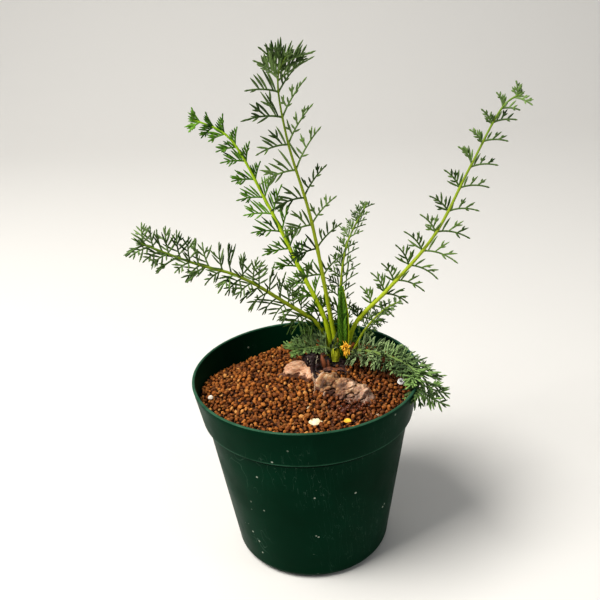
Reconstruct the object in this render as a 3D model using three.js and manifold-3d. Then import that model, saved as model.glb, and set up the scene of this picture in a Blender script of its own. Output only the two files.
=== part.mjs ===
// A potted geranium: a tuberous plant with finely divided, fern-like leaves, growing in a
// round nursery pot filled with small hard granules. Millimetres, +Z up. The origin is the
// centre of the pot's underside, +X is to the right and +Y is to the back.
import * as THREE from "three";
import { mergeVertices } from "three/addons/utils/BufferGeometryUtils.js";
import Module from "manifold-3d";

const wasm = await Module();
wasm.setup();

// ---------------------------------------------------------------- driving sizes

const clearance = 0.3; // gap between pieces that touch

// Nursery pot
const potTopRadius = 54;
const potHeight = 93;
const potWall = 1.4;
const potFloor = 1.8;
const bandHeight = 19;
const bandDraft = 3.4; // how much the rim band narrows from its top to its lower edge
const bandStep = 1.9; // how far the band stands out from the body below it
const potBaseRadius = 37.6;
const baseCornerRadius = 4.6;
const rimRoundness = 0.5;
const drainHoleCount = 6;
const drainHoleRadius = 4.5;
const drainRingRadius = 24;
const potSides = 48;
const holeSides = 12;

// Growing medium
const fillBelowRim = 8; // level at the wall, below the rim
const moundHeight = 2; // how much higher the middle lies
const dipDepth = 7.5; // the granules sink at the back left
const dipAzimuth = 130;
const dipWidth = 24; // degrees
const dipFalloff = 3; // power of the distance from the centre
const mediumSides = 36;
const mediumRings = [0.9, 0.75, 0.55, 0.3]; // shares of the edge radius

// Plant: the crown, where all the leaves start, lies off the pot's centre
const crownX = 16.5;
const crownY = 19;
const crownRadius = 8.5;
const crownHeight = 4.5; // half the height of its cushion
const crownAboveMedium = 3.4; // top of the cushion over the granules around it
const petioleRadius = 1.3; // at a leaf's foot
const rachisTipRadius = 0.45;
const petiolePitch = 2 * petioleRadius + clearance; // smallest spacing of two leaf feet
const rachisSides = 6;
const rachisStep = 8; // length of one straight piece of a leaf's rib
const leafletThickness = 0.8;
const leafletStalk = 0.5; // half the width of a leaflet's stalk
const sideLobeReach = 0.76; // shares of a leaflet's length
const sideLobeWidth = 0.21;
const notchReach = 0.64;
const ballSides = 12;
const ballRings = 8;
const rimRest = 3; // a drooping leaf's rib over the pot's rim
const droopGap = 5.5; // and outside the rim
const droopAzimuth = -11; // degrees, where it crosses the rim

// ---------------------------------------------------------------- helpers

const degrees = THREE.MathUtils.degToRad;

function vector(point) {
  return new THREE.Vector3(...point);
}

// A closed geometry as a solid for joining and cutting.
function solid(geometry) {
  const bare = geometry.clone();
  bare.deleteAttribute("normal");
  bare.deleteAttribute("uv");
  const merged = mergeVertices(bare, 1e-4);
  const vertProperties = new Float32Array(merged.attributes.position.array);
  const triVerts = new Uint32Array(merged.index.array);
  return new wasm.Manifold(new wasm.Mesh({ numProp: 3, vertProperties, triVerts }));
}

// A solid back as a geometry.
function geometryOf(body) {
  const mesh = body.getMesh();
  const geometry = new THREE.BufferGeometry();
  const corners = new Float32Array(mesh.vertProperties);
  geometry.setAttribute("position", new THREE.BufferAttribute(corners, 3));
  geometry.setIndex(new THREE.BufferAttribute(new Uint32Array(mesh.triVerts), 1));
  geometry.computeVertexNormals();
  return geometry;
}

function join(bodies) {
  return bodies.reduce((whole, body) => whole.add(body));
}

// An outline of equal sides, as wide as 2 * across and as deep as 2 * deep.
function ovalShape(across, deep, sides) {
  const shape = new THREE.Shape();
  for (let i = 0; i < sides; i += 1) {
    const turn = (2 * Math.PI * i) / sides;
    const x = across * Math.cos(turn);
    const y = deep * Math.sin(turn);
    if (i === 0) {
      shape.moveTo(x, y);
    } else {
      shape.lineTo(x, y);
    }
  }
  shape.closePath();
  return shape;
}

// A straight prism bent along a curve. widthAt(t) scales its section along the way.
function bentPrism(section, curve, steps, widthAt) {
  const settings = { depth: 1, steps, bevelEnabled: false };
  const geometry = new THREE.ExtrudeGeometry(section, settings);
  const frames = curve.computeFrenetFrames(steps, false);
  const position = geometry.attributes.position;
  for (let i = 0; i < position.count; i += 1) {
    const t = position.getZ(i);
    const station = Math.round(t * steps);
    const width = widthAt(t);
    const place = curve.getPointAt(t);
    place.addScaledVector(frames.normals[station], position.getX(i) * width);
    place.addScaledVector(frames.binormals[station], position.getY(i) * width);
    position.setXYZ(i, place.x, place.y, place.z);
  }
  return geometry;
}

function taper(from, to) {
  return (t) => from + (to - from) * t;
}

// A ball stretched to the given half sizes, turned about the vertical and moved.
function ellipsoid({ at, half, turn = 0, lean = 0 }, grow = 0) {
  const geometry = new THREE.SphereGeometry(1, ballSides, ballRings);
  geometry.rotateX(Math.PI / 2);
  geometry.scale(half[0] + grow, half[1] + grow, half[2] + grow);
  geometry.rotateY(degrees(lean));
  geometry.rotateZ(degrees(turn));
  geometry.translate(...at);
  return geometry;
}

// ---------------------------------------------------------------- pot

const bandBottomRadius = potTopRadius - bandDraft;
const bandBottomZ = potHeight - bandHeight;
const bodyTopRadius = bandBottomRadius - bandStep;

// Outer radius of the straight part of the pot's body at a height.
function bodyRadius(z) {
  return potBaseRadius + ((bodyTopRadius - potBaseRadius) * z) / bandBottomZ;
}

function bandRadius(z) {
  return bandBottomRadius + (bandDraft * (z - bandBottomZ)) / bandHeight;
}

// Inner radius of the pot at a height above its floor.
function innerRadius(z) {
  const onBand = z > bandBottomZ + potWall;
  return (onBand ? bandRadius(z) : bodyRadius(z)) - potWall;
}

function potProfile() {
  const shape = new THREE.Shape();
  const cornerCentreR = bodyRadius(baseCornerRadius) - baseCornerRadius;
  shape.moveTo(0, 0);
  shape.lineTo(cornerCentreR, 0);
  shape.absarc(cornerCentreR, baseCornerRadius, baseCornerRadius, -Math.PI / 2, 0, false);
  shape.lineTo(bodyTopRadius, bandBottomZ);
  shape.lineTo(bandBottomRadius, bandBottomZ);
  shape.lineTo(potTopRadius, potHeight - rimRoundness);
  shape.lineTo(potTopRadius - rimRoundness, potHeight);
  shape.lineTo(potTopRadius - potWall + rimRoundness, potHeight);
  shape.lineTo(potTopRadius - potWall, potHeight - rimRoundness);
  shape.lineTo(innerRadius(bandBottomZ + 2 * potWall), bandBottomZ + potWall);
  shape.lineTo(innerRadius(bandBottomZ), bandBottomZ + potWall);
  shape.lineTo(innerRadius(baseCornerRadius), baseCornerRadius);
  shape.lineTo(cornerCentreR, potFloor);
  shape.lineTo(0, potFloor);
  return shape.getPoints(3).slice(0, -1);
}

function pot() {
  const shell = new THREE.LatheGeometry([...potProfile(), new THREE.Vector2(0, 0)], potSides);
  shell.rotateX(Math.PI / 2);
  let body = solid(shell);
  for (let i = 0; i < drainHoleCount; i += 1) {
    const turn = (2 * Math.PI * i) / drainHoleCount;
    const hole = new THREE.CylinderGeometry(drainHoleRadius, drainHoleRadius, 4 * potFloor, holeSides);
    hole.rotateX(Math.PI / 2);
    hole.translate(drainRingRadius * Math.cos(turn), drainRingRadius * Math.sin(turn), 0);
    body = body.subtract(solid(hole));
  }
  return geometryOf(body);
}

// ---------------------------------------------------------------- growing medium

const edgeLevel = potHeight - fillBelowRim;
const edgeRadius = innerRadius(edgeLevel) - clearance;

// Height of the granules at a place in the pot.
function mediumLevel(x, y) {
  const share = Math.min(Math.hypot(x, y) / edgeRadius, 1);
  const azimuth = THREE.MathUtils.radToDeg(Math.atan2(y, x));
  const off = THREE.MathUtils.euclideanModulo(azimuth - dipAzimuth + 180, 360) - 180;
  const dip = dipDepth * Math.exp(-0.5 * (off / dipWidth) ** 2) * share ** dipFalloff;
  return edgeLevel + moundHeight * (1 - share ** 2) - dip;
}

// A solid of rings of points, each ring a function from azimuth to [radius, height].
function ringSolid(bottomZ, rings, topZ, sides) {
  const points = [0, 0, bottomZ];
  rings.forEach((ring) => {
    for (let i = 0; i < sides; i += 1) {
      const turn = (2 * Math.PI * i) / sides;
      const [radius, z] = ring(turn);
      points.push(radius * Math.cos(turn), radius * Math.sin(turn), z);
    }
  });
  points.push(0, 0, topZ);
  const top = points.length / 3 - 1;
  const index = [];
  for (let i = 0; i < sides; i += 1) {
    const next = (i + 1) % sides;
    index.push(0, 1 + next, 1 + i);
    for (let k = 0; k < rings.length - 1; k += 1) {
      const low = 1 + k * sides;
      const high = low + sides;
      index.push(low + i, low + next, high + next);
      index.push(low + i, high + next, high + i);
    }
    const last = 1 + (rings.length - 1) * sides;
    index.push(last + i, last + next, top);
  }
  const geometry = new THREE.BufferGeometry();
  geometry.setAttribute("position", new THREE.Float32BufferAttribute(points, 3));
  geometry.setIndex(index);
  return geometry;
}

function mediumSolid() {
  const floorZ = potFloor + clearance;
  const footR = bodyRadius(baseCornerRadius) - baseCornerRadius - clearance;
  const stepZ = bandBottomZ + potWall;
  const rings = [
    () => [footR, floorZ],
    () => [innerRadius(baseCornerRadius) - clearance, baseCornerRadius + clearance],
    () => [innerRadius(bandBottomZ) - clearance, stepZ],
  ];
  rings.push((turn) => {
    const level = mediumLevel(edgeRadius * Math.cos(turn), edgeRadius * Math.sin(turn));
    return [innerRadius(level) - clearance, level];
  });
  mediumRings.forEach((share) => {
    rings.push((turn) => {
      const radius = share * edgeRadius;
      return [radius, mediumLevel(radius * Math.cos(turn), radius * Math.sin(turn))];
    });
  });
  return solid(ringSolid(floorZ, rings, mediumLevel(0, 0), mediumSides));
}

// ---------------------------------------------------------------- tuber and crown

const crownTop = mediumLevel(crownX, crownY) + crownAboveMedium;

// The swollen root lies half in the granules: a smooth lobe to the left of the crown and a
// knobbly arm that runs to the front right. Places are given from the crown's centre, and
// `bulge` is how high a lobe stands out of the granules.
function tuberLobe({ right, back, bulge, half, turn }) {
  const x = crownX + right;
  const y = crownY + back;
  return { at: [x, y, mediumLevel(x, y) + bulge - half[2]], half, turn };
}

const tuberLobes = [
  { right: -20, back: -12.5, bulge: 5.5, half: [9.5, 6, 7.5], turn: -14 },
  { right: -10.5, back: -16, bulge: 3.5, half: [7.5, 7, 7], turn: -40 },
  { right: -5.5, back: -26.5, bulge: 6.5, half: [7, 8.5, 8.5], turn: 10 },
  { right: 1.5, back: -30.5, bulge: 6, half: [7.5, 7, 8], turn: -30 },
  { right: 8, back: -33.5, bulge: 4.5, half: [7, 5.5, 6.5], turn: -25 },
].map(tuberLobe);

// The dark crown is a cushion under the leaves, a saddle on the tuber, and a tuft of the
// fibres of old leaf bases.
const crownLumps = [
  {
    at: [crownX, crownY, crownTop - crownHeight],
    half: [crownRadius, crownRadius, crownHeight],
  },
  { at: [crownX - 6, crownY - 9, crownTop - 6.5], half: [7.5, 6, 5], turn: 30 },
  { at: [crownX - 12.5, crownY - 8.5, crownTop - 2], half: [5.5, 4.5, 6.5], lean: 14 },
];

function lumps(list, grow) {
  return join(list.map((lump) => solid(ellipsoid(lump, grow))));
}

// Height of the crown's cushion at a distance from its centre.
function crownLevel(distance) {
  const share = Math.min(distance / crownRadius, 1);
  return crownTop - crownHeight * (1 - Math.sqrt(1 - share ** 2));
}

// ---------------------------------------------------------------- leaves

// One leaflet, flat and pointing along +X from its foot at the origin: a narrow stalk that
// opens into a middle lobe and two side lobes.
function leafletShape(length) {
  const outline = [
    [0, leafletStalk],
    [sideLobeReach * length, sideLobeWidth * length],
    [notchReach * length, leafletStalk],
    [length, 0],
  ];
  const shape = new THREE.Shape();
  outline.forEach(([x, y], i) => (i === 0 ? shape.moveTo(x, y) : shape.lineTo(x, y)));
  outline.slice(0, -1).reverse().forEach(([x, y]) => shape.lineTo(x, -y));
  shape.closePath();
  return shape;
}

// The foot of a leaf, in petiole pitches from the crown's centre. It stands clear of the
// crown under the whole of its slanting end.
function leafFoot([right, back], next, thick) {
  const x = right * petiolePitch;
  const y = back * petiolePitch;
  const radius = petioleRadius * thick;
  const inner = Math.max(Math.hypot(x, y) - radius, 0);
  const ground = Math.max(crownLevel(inner), mediumLevel(crownX + x, crownY + y)) - crownTop;
  const [nextX, nextY, nextZ] = next;
  const slant = Math.hypot(nextX - x, nextY - y);
  const share = slant / Math.hypot(slant, nextZ - ground);
  return [x, y, ground + clearance + radius * share];
}

// How long a leaflet is, as a share of the leaf's longest, at a share of the way from the
// first pair to the last: the pairs grow towards the middle and shrink to the tip.
function leafletSize(share) {
  const first = 0.22;
  const last = 0.88;
  return Math.sin(Math.PI * (first + (last - first) * share));
}

// A leaf: a rib through points given from the crown's top centre, with pairs of leaflets
// from a length `bare` along it to its tip, and one at the tip. `face` is the direction the
// upper side looks in. `spread` is the leaflets' angle from the rib, and `lift` is how far
// they rise towards the upper side, both in degrees.
function leaf({ foot, points, bare, pitch, longest, face, spread = 52, lift = 24, thick = 1 }) {
  const places = [leafFoot(foot, points[0], thick), ...points].map(vector);
  places.forEach((place) => place.add(new THREE.Vector3(crownX, crownY, crownTop)));
  const curve = new THREE.CatmullRomCurve3(places, false, "centripetal");
  const length = curve.getLength();
  const steps = Math.ceil(length / rachisStep);
  const section = ovalShape(petioleRadius, petioleRadius, rachisSides);
  const slim = rachisTipRadius / petioleRadius;
  const bodies = [solid(bentPrism(section, curve, steps, taper(thick, slim)))];
  const pairs = Math.floor((length - bare) / pitch);
  for (let i = 0; i <= pairs; i += 1) {
    const along = (bare + i * pitch) / length;
    const size = longest * leafletSize(i / pairs);
    const sides = i === pairs ? [-1, 0, 1] : [-1, 1];
    sides.forEach((side) => {
      bodies.push(leafletOn(curve, along, side, size, face, spread, lift));
    });
  }
  return geometryOf(join(bodies));
}

function leafletOn(curve, along, side, size, face, spread, lift) {
  const forward = curve.getTangentAt(along);
  const up = vector(face);
  up.addScaledVector(forward, -up.dot(forward)).normalize();
  const across = new THREE.Vector3().crossVectors(forward, up);
  const angle = degrees(spread) * side;
  const rise = degrees(lift) * Math.abs(side);
  const direction = forward.clone().multiplyScalar(Math.cos(angle));
  direction.addScaledVector(across, Math.sin(angle) * Math.cos(rise));
  direction.addScaledVector(up, Math.abs(Math.sin(angle)) * Math.sin(rise));
  direction.normalize();
  const sideways = new THREE.Vector3().crossVectors(up, direction).normalize();
  const normal = new THREE.Vector3().crossVectors(direction, sideways);
  const settings = { depth: leafletThickness, bevelEnabled: false };
  const blade = new THREE.ExtrudeGeometry(leafletShape(size), settings);
  blade.translate(0, 0, -leafletThickness / 2);
  blade.applyMatrix4(new THREE.Matrix4().makeBasis(direction, sideways, normal));
  const place = curve.getPointAt(along);
  blade.translate(place.x, place.y, place.z);
  return solid(blade);
}

// ---------------------------------------------------------------- materials and scene

const looks = {
  pot: { color: 0x0c3b2e, roughness: 0.42, metalness: 0 },
  granules: { color: 0x8a4f24, roughness: 0.95, metalness: 0 },
  tuber: { color: 0xa88467, roughness: 0.85, metalness: 0 },
  crown: { color: 0x2c1a14, roughness: 0.95, metalness: 0 },
  freshLeaf: { color: 0x4f7a2a, roughness: 0.6, metalness: 0 },
  oldLeaf: { color: 0x5d7a56, roughness: 0.7, metalness: 0 },
  scale: { color: 0x6b4030, roughness: 0.85, metalness: 0 },
  withered: { color: 0xd29a2c, roughness: 0.8, metalness: 0 },
  pale: { color: 0xe6d9c2, roughness: 0.85, metalness: 0 },
};

const plant = new THREE.Group();

function place(name, geometry, look, parent = plant) {
  const mesh = new THREE.Mesh(geometry, new THREE.MeshStandardMaterial(looks[look]));
  mesh.name = name;
  parent.add(mesh);
  return mesh;
}

place("nursery_pot", pot(), "pot");

const tuber = lumps(tuberLobes, 0);
const tuberSpace = lumps(tuberLobes, clearance);
const crown = lumps(crownLumps, 0).subtract(tuberSpace);
const socket = tuberSpace.add(lumps(crownLumps, clearance));
place("growing_medium", geometryOf(mediumSolid().subtract(socket)), "granules");
place("tuber", geometryOf(tuber), "tuber");
place("crown", geometryOf(crown), "crown");

// A place near the rim, from the top of the crown: how far outside the rim, how many degrees
// round from where the drooping leaf crosses it, and how high over it.
function atRim(outside, round, over) {
  const radius = potTopRadius + outside;
  const turn = degrees(droopAzimuth + round);
  const x = radius * Math.cos(turn) - crownX;
  return [x, radius * Math.sin(turn) - crownY, potHeight + over - crownTop];
}

// The old leaf on the right arches over the granules and hangs over the pot's rim.
const drooping = [
  [9.5, -5, 4],
  [19, -14, 7],
  atRim(-6, 6, rimRest + 2),
  atRim(1, 0, rimRest),
  atRim(droopGap, -2, -3),
  atRim(droopGap + 1, -3, -8),
];

// Every path starts at the leaf's foot, and its points are given from the top of the crown.
const towardsViewer = [0, -0.9, 0.45];
const leaves = {
  tall_leaf: {
    foot: [0, 0],
    points: [[-5, 1, 35], [-11, 0, 74], [-19, -5, 108], [-22, -14, 134], [-19, -30, 147]],
    bare: 56, pitch: 13, longest: 14, face: [-0.3, -0.9, 0.3], look: "freshLeaf",
  },
  upper_left_leaf: {
    foot: [-0.98, 0.45],
    points: [[-6, 1, 20], [-17, 4, 46], [-31, 8, 79], [-47, 11, 110], [-62, 12, 118]],
    bare: 40, pitch: 10, longest: 11, face: towardsViewer, look: "freshLeaf",
  },
  lower_left_leaf: {
    foot: [-1.3, 1.75],
    points: [[-9, 2, 16], [-24, -5, 32], [-45, -12, 50], [-64, -16, 59], [-87, -23, 73]],
    bare: 30, pitch: 10, longest: 12, face: towardsViewer, look: "freshLeaf",
  },
  right_leaf: {
    foot: [1.35, 0.5],
    points: [[9, 0, 17], [25, 1, 34], [47, 2, 60], [63, 3, 92], [78, 3, 121], [84, 3, 124]],
    bare: 32, pitch: 12, longest: 14, face: towardsViewer, look: "freshLeaf",
  },
  back_leaf: {
    foot: [0.4, 1.8],
    points: [[2, 9, 26], [7, 20, 51], [18, 31, 67]],
    bare: 20, pitch: 9, longest: 11, face: [0.1, -0.6, 0.8], thick: 0.75, look: "freshLeaf",
  },
  right_back_leaf: {
    foot: [2.4, 1.7],
    points: [[14, 8, 9], [25, 15, 17], [33, 19, 19]],
    bare: 9, pitch: 7, longest: 9, face: [-0.2, 0, 1], thick: 0.75, look: "oldLeaf",
  },
  right_drooping_leaf: {
    foot: [2.7, 0.2],
    points: drooping,
    bare: 12, pitch: 7, longest: 11, face: [0.35, -0.25, 1], lift: 30, look: "oldLeaf",
  },
  left_low_leaf: {
    foot: [-0.95, -0.8],
    points: [[-5, -4, 6], [-10, -5, 9.5], [-17, -8, 11], [-25, -12, 7]],
    bare: 6, pitch: 6, longest: 8, face: [0, -0.3, 1], thick: 0.75, look: "oldLeaf",
  },
};

Object.entries(leaves).forEach(([name, { look, ...shape }]) => {
  place(name, leaf(shape), look);
});

// ---------------------------------------------------------------- small pieces

const sliverBelly = 0.6; // how much wider a small bent piece is at its middle

// A small bent piece through points given from the crown's top, flattened and tapered.
function sliver({ points, across, deep, from = 1, to = 0.3, sides = 6, steps = 6 }) {
  const places = points.map(([x, y, z]) => vector([x + crownX, y + crownY, z + crownTop]));
  const curve = new THREE.CatmullRomCurve3(places, false, "centripetal");
  const belly = (t) => from + (to - from) * t + sliverBelly * Math.sin(Math.PI * t);
  return geometryOf(solid(bentPrism(ovalShape(across, deep, sides), curve, steps, belly)));
}

const slivers = {
  folded_young_leaf: {
    points: [[2.2, -3.6, 1.2], [2.2, -4, 14], [2.6, -4, 27], [3.1, -4, 40]],
    across: 1.7, deep: 1.3, from: 0.8, to: 0.25, sides: 8, steps: 8, look: "freshLeaf",
  },
  petiole_sheath: {
    points: [[-3, -5, 0.5], [-2.8, -5.6, 2.6], [-1.9, -5, 4.8]],
    across: 1.5, deep: 1.1, from: 0.8, to: 0.5, look: "freshLeaf",
  },
  pale_stipule: {
    points: [[4.7, -0.9, 1.2], [5.3, -1.1, 4], [6.4, -1.2, 8.5]],
    across: 0.7, deep: 0.3, look: "pale",
  },
  withered_leaf: {
    points: [[5.4, -3.8, 0.6], [5.2, -4.4, 3], [4.9, -6, 4.2], [5.2, -7.8, 2.4]],
    across: 1.5, deep: 1, from: 0.6, to: 0.8, look: "withered",
  },
  front_crown_scale: {
    points: [[-6.8, -13.6, 1.6], [-7.8, -13.2, 4.6], [-8.4, -11.8, 7.6]],
    across: 1.4, deep: 0.5, look: "scale",
  },
  lower_crown_scale: {
    points: [[-8, -15.6, 2.4], [-4.6, -16.4, 3], [-1.6, -17.6, 2.4]],
    across: 1.3, deep: 0.6, look: "scale",
  },
  left_crown_scale: {
    points: [[-15.6, -14.2, 2.6], [-16.2, -14.4, 4.8], [-15.8, -13.6, 7]],
    across: 1.1, deep: 0.45, look: "scale",
  },
  brown_thin_root: {
    points: [[0.4, -16.4, 0], [1, -19, 1.2], [1.4, -21.5, 3], [4.3, -25.6, 4.4]],
    across: 0.45, deep: 0.45, to: 0.6, look: "scale",
  },
  pale_thin_root: {
    points: [[-13.8, -20.5, 3], [-12.6, -25, 1], [-12.2, -29, -1], [-13, -33.5, -1.6]],
    across: 0.5, deep: 0.5, to: 0.6, look: "pale",
  },
};

Object.entries(slivers).forEach(([name, { look, ...shape }]) => {
  place(name, sliver(shape), look);
});

// Loose bits lie on the granules, given by their place in the pot.
function loose(x, y, half, turn) {
  const z = mediumLevel(x, y) + half[2] + clearance;
  return ellipsoid({ at: [x, y, z], half, turn });
}

place("cream_flake", loose(3, -36, [3, 1.9, 0.7], 15), "pale");
place("orange_flake", loose(17, -36, [1.8, 1.3, 0.6], 20), "withered");
place("left_pale_grain", loose(-45, -10, [1.5, 1.2, 0.9], 40), "pale");
place("back_pale_grain", loose(30, 20, [1.2, 1, 0.8], 10), "pale");

// A pale round grain with a dimple on top.
const ringGrainRadius = 2.1;
const ringGrainX = 44;
const ringGrainY = -4;
const ringGrainProfile = [
  [0, 0],
  [0.7, 0],
  [1, 0.35],
  [0.85, 0.68],
  [0.5, 0.7],
  [0.28, 0.42],
  [0, 0.4],
].map(([r, z]) => new THREE.Vector2(r * ringGrainRadius, z * ringGrainRadius));
const ringGrain = geometryOf(solid(new THREE.LatheGeometry(ringGrainProfile, 12)));
ringGrain.rotateX(Math.PI / 2);
const ringGrainMesh = place("ring_grain", ringGrain, "pale");
const ringGrainZ = mediumLevel(ringGrainX, ringGrainY) + 2 * clearance;
ringGrainMesh.position.set(ringGrainX, ringGrainY, ringGrainZ);

export default plant;
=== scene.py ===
"""A potted geranium: the looks of the plant, its granules and its pot, around the CAD frame.

Shapes are worked out in millimetres, in the frame's own axes, and become metres when a mesh
is made. The pot stands at the origin, +X is to the right and +Y is to the back.
"""
import math

import bmesh
import bpy
import numpy as np
from mathutils import Matrix, Vector, noise


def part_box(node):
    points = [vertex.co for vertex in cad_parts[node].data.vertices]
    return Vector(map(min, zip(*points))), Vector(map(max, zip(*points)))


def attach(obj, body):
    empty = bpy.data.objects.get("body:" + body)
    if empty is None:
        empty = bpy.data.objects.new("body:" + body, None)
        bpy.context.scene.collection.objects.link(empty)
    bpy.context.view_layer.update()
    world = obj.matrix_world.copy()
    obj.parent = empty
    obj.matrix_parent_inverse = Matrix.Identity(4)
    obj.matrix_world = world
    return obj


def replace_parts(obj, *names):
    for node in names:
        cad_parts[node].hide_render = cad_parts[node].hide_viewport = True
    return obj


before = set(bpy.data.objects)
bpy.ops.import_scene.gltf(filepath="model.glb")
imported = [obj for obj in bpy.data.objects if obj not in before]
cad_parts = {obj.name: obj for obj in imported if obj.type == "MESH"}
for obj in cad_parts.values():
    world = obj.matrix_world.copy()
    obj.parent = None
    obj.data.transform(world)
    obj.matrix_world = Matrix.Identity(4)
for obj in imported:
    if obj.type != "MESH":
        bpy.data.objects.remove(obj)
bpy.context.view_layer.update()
scene = bpy.context.scene

MM = 0.001


def box_mm(node):
    low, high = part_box(node)
    return np.array(low) / MM, np.array(high) / MM


# ---- camera

CAMERA_BACK = 324.3  # from the pot's axis
CAMERA_HEIGHT = 274.0
AIM = (-1.0, 0.0, 129.6)
CAMERA_ROLL = -3.0
LENS = 46.7
SENSOR = 36.0


def add_camera():
    place = Vector((0, -CAMERA_BACK, CAMERA_HEIGHT)) * MM
    forward = (Vector(AIM) * MM - place).normalized()
    turn = forward.to_track_quat("-Z", "Y").to_matrix().to_4x4()
    roll = Matrix.Rotation(math.radians(CAMERA_ROLL), 4, "Z")
    data = bpy.data.cameras.new("camera")
    data.lens = LENS
    data.sensor_width = SENSOR
    data.clip_start = 0.01
    camera = bpy.data.objects.new("camera", data)
    camera.matrix_world = Matrix.Translation(place) @ turn @ roll
    scene.collection.objects.link(camera)
    scene.camera = camera
    scene.view_settings.view_transform = "Standard"
    scene.view_settings.look = "Medium High Contrast"


# ---- driving sizes, mm

_, pot_high = box_mm("nursery_pot")
POT_TOP_RADIUS = pot_high[0]
POT_HEIGHT = pot_high[2]
CLEARANCE = 0.3
POT_WALL = 1.4
POT_FLOOR = 1.8
BAND_HEIGHT = 19.0
BAND_DRAFT = 3.4
BAND_STEP = 1.9
POT_BASE_RADIUS = 37.6
BASE_CORNER = 4.6
RIM_ROUND = 0.6
STEP_ROUND = 0.5
POT_SIDES = 144
DRAIN_HOLES = 6
DRAIN_HOLE_RADIUS = 4.5
DRAIN_RING_RADIUS = 24.0

BAND_BOTTOM_RADIUS = POT_TOP_RADIUS - BAND_DRAFT
BAND_BOTTOM_Z = POT_HEIGHT - BAND_HEIGHT
BODY_TOP_RADIUS = BAND_BOTTOM_RADIUS - BAND_STEP

FILL_BELOW_RIM = 8.0
EDGE_LEVEL = POT_HEIGHT - FILL_BELOW_RIM
MOUND = 2.0
DIP_DEPTH = 7.5
DIP_AZIMUTH = 130.0
DIP_WIDTH = 24.0
DIP_FALLOFF = 3.0

CROWN_X = 16.5
CROWN_Y = 19.0
CROWN_RADIUS = 8.5
CROWN_ABOVE = 3.4
PETIOLE_PITCH = 2.9  # smallest spacing of two leaf feet


def band_radius(z):
    return BAND_BOTTOM_RADIUS + BAND_DRAFT * (z - BAND_BOTTOM_Z) / BAND_HEIGHT


EDGE_RADIUS = band_radius(EDGE_LEVEL) - POT_WALL - CLEARANCE


def level(x, y):
    """Height of the granules' surface."""
    share = np.minimum(np.hypot(x, y) / EDGE_RADIUS, 1.0)
    azimuth = np.degrees(np.arctan2(y, x))
    off = (azimuth - DIP_AZIMUTH + 180.0) % 360.0 - 180.0
    dip = DIP_DEPTH * np.exp(-0.5 * (off / DIP_WIDTH) ** 2) * share**DIP_FALLOFF
    return EDGE_LEVEL + MOUND * (1 - share**2) - dip


CROWN_TOP = float(level(CROWN_X, CROWN_Y)) + CROWN_ABOVE
CROWN = np.array([CROWN_X, CROWN_Y, CROWN_TOP])

# ---- mesh building


def unit(v):
    v = np.asarray(v, float)
    return v / max(np.linalg.norm(v), 1e-12)


FOOT_BULGE = 0.3  # how far a tube's closed foot stands out, as a share of its width


class Mesh:
    """Points, faces and a three-part tint for every point, gathered piece by piece."""

    def __init__(self):
        self.points = []
        self.faces = []
        self.tints = []
        self.count = 0

    def add(self, points, faces, tint):
        points = np.asarray(points, float)
        tint = np.asarray(tint, float)
        if tint.ndim == 1:
            tint = np.tile(tint, (len(points), 1))
        self.points.append(points)
        self.tints.append(tint)
        self.faces.extend([tuple(i + self.count for i in face) for face in faces])
        self.count += len(points)

    def tube(self, path, widths, depths, side, tint_from, tint_to=None, sides=8, tip=0.5):
        """A closed tube through path, flattened: widths run along side, depths across it."""
        path = np.asarray(path, float)
        steps = len(path)
        widths = np.broadcast_to(widths, steps)
        depths = np.broadcast_to(depths, steps)
        tangents = np.gradient(path, axis=0)
        tangents /= np.linalg.norm(tangents, axis=1)[:, None]
        across = unit(side - np.dot(side, tangents[0]) * tangents[0])
        turns = 2 * np.pi * np.arange(sides) / sides
        rings = []
        for k in range(steps):
            across = unit(across - np.dot(across, tangents[k]) * tangents[k])
            deep = np.cross(tangents[k], across)
            ring = np.outer(np.cos(turns) * widths[k], across)
            ring += np.outer(np.sin(turns) * depths[k], deep)
            rings.append(path[k] + ring)
        start = path[0] - tangents[0] * widths[0] * FOOT_BULGE
        end = path[-1] + tangents[-1] * widths[-1] * tip
        points = np.vstack([*rings, start, end])
        first, last = steps * sides, steps * sides + 1
        faces = []
        for k in range(steps - 1):
            for i in range(sides):
                j = (i + 1) % sides
                a = k * sides
                b = a + sides
                faces.append((a + i, a + j, b + j, b + i))
        top = (steps - 1) * sides
        for i in range(sides):
            j = (i + 1) % sides
            faces.append((first, j, i))
            faces.append((top + i, top + j, last))
        tint_from = np.asarray(tint_from, float)
        tint_to = tint_from if tint_to is None else np.asarray(tint_to, float)
        shares = np.repeat(np.linspace(0, 1, steps), sides)
        shares = np.append(shares, [0.0, 1.0])[:, None]
        self.add(points, faces, tint_from * (1 - shares) + tint_to * shares)

    def build(self, name, material, slot):
        mesh = bpy.data.meshes.new(name)
        points = np.vstack(self.points) * MM
        mesh.from_pydata(points.tolist(), [], self.faces)
        tint = mesh.attributes.new("tint", "FLOAT_VECTOR", "POINT")
        tint.data.foreach_set("vector", np.vstack(self.tints).astype(np.float32).ravel())
        mesh.shade_smooth()
        mesh.validate()
        mesh.update()
        piece = bpy.data.objects.new(name, mesh)
        scene.collection.objects.link(piece)
        mesh.materials.append(material)
        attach(piece, "root")
        return piece


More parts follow.
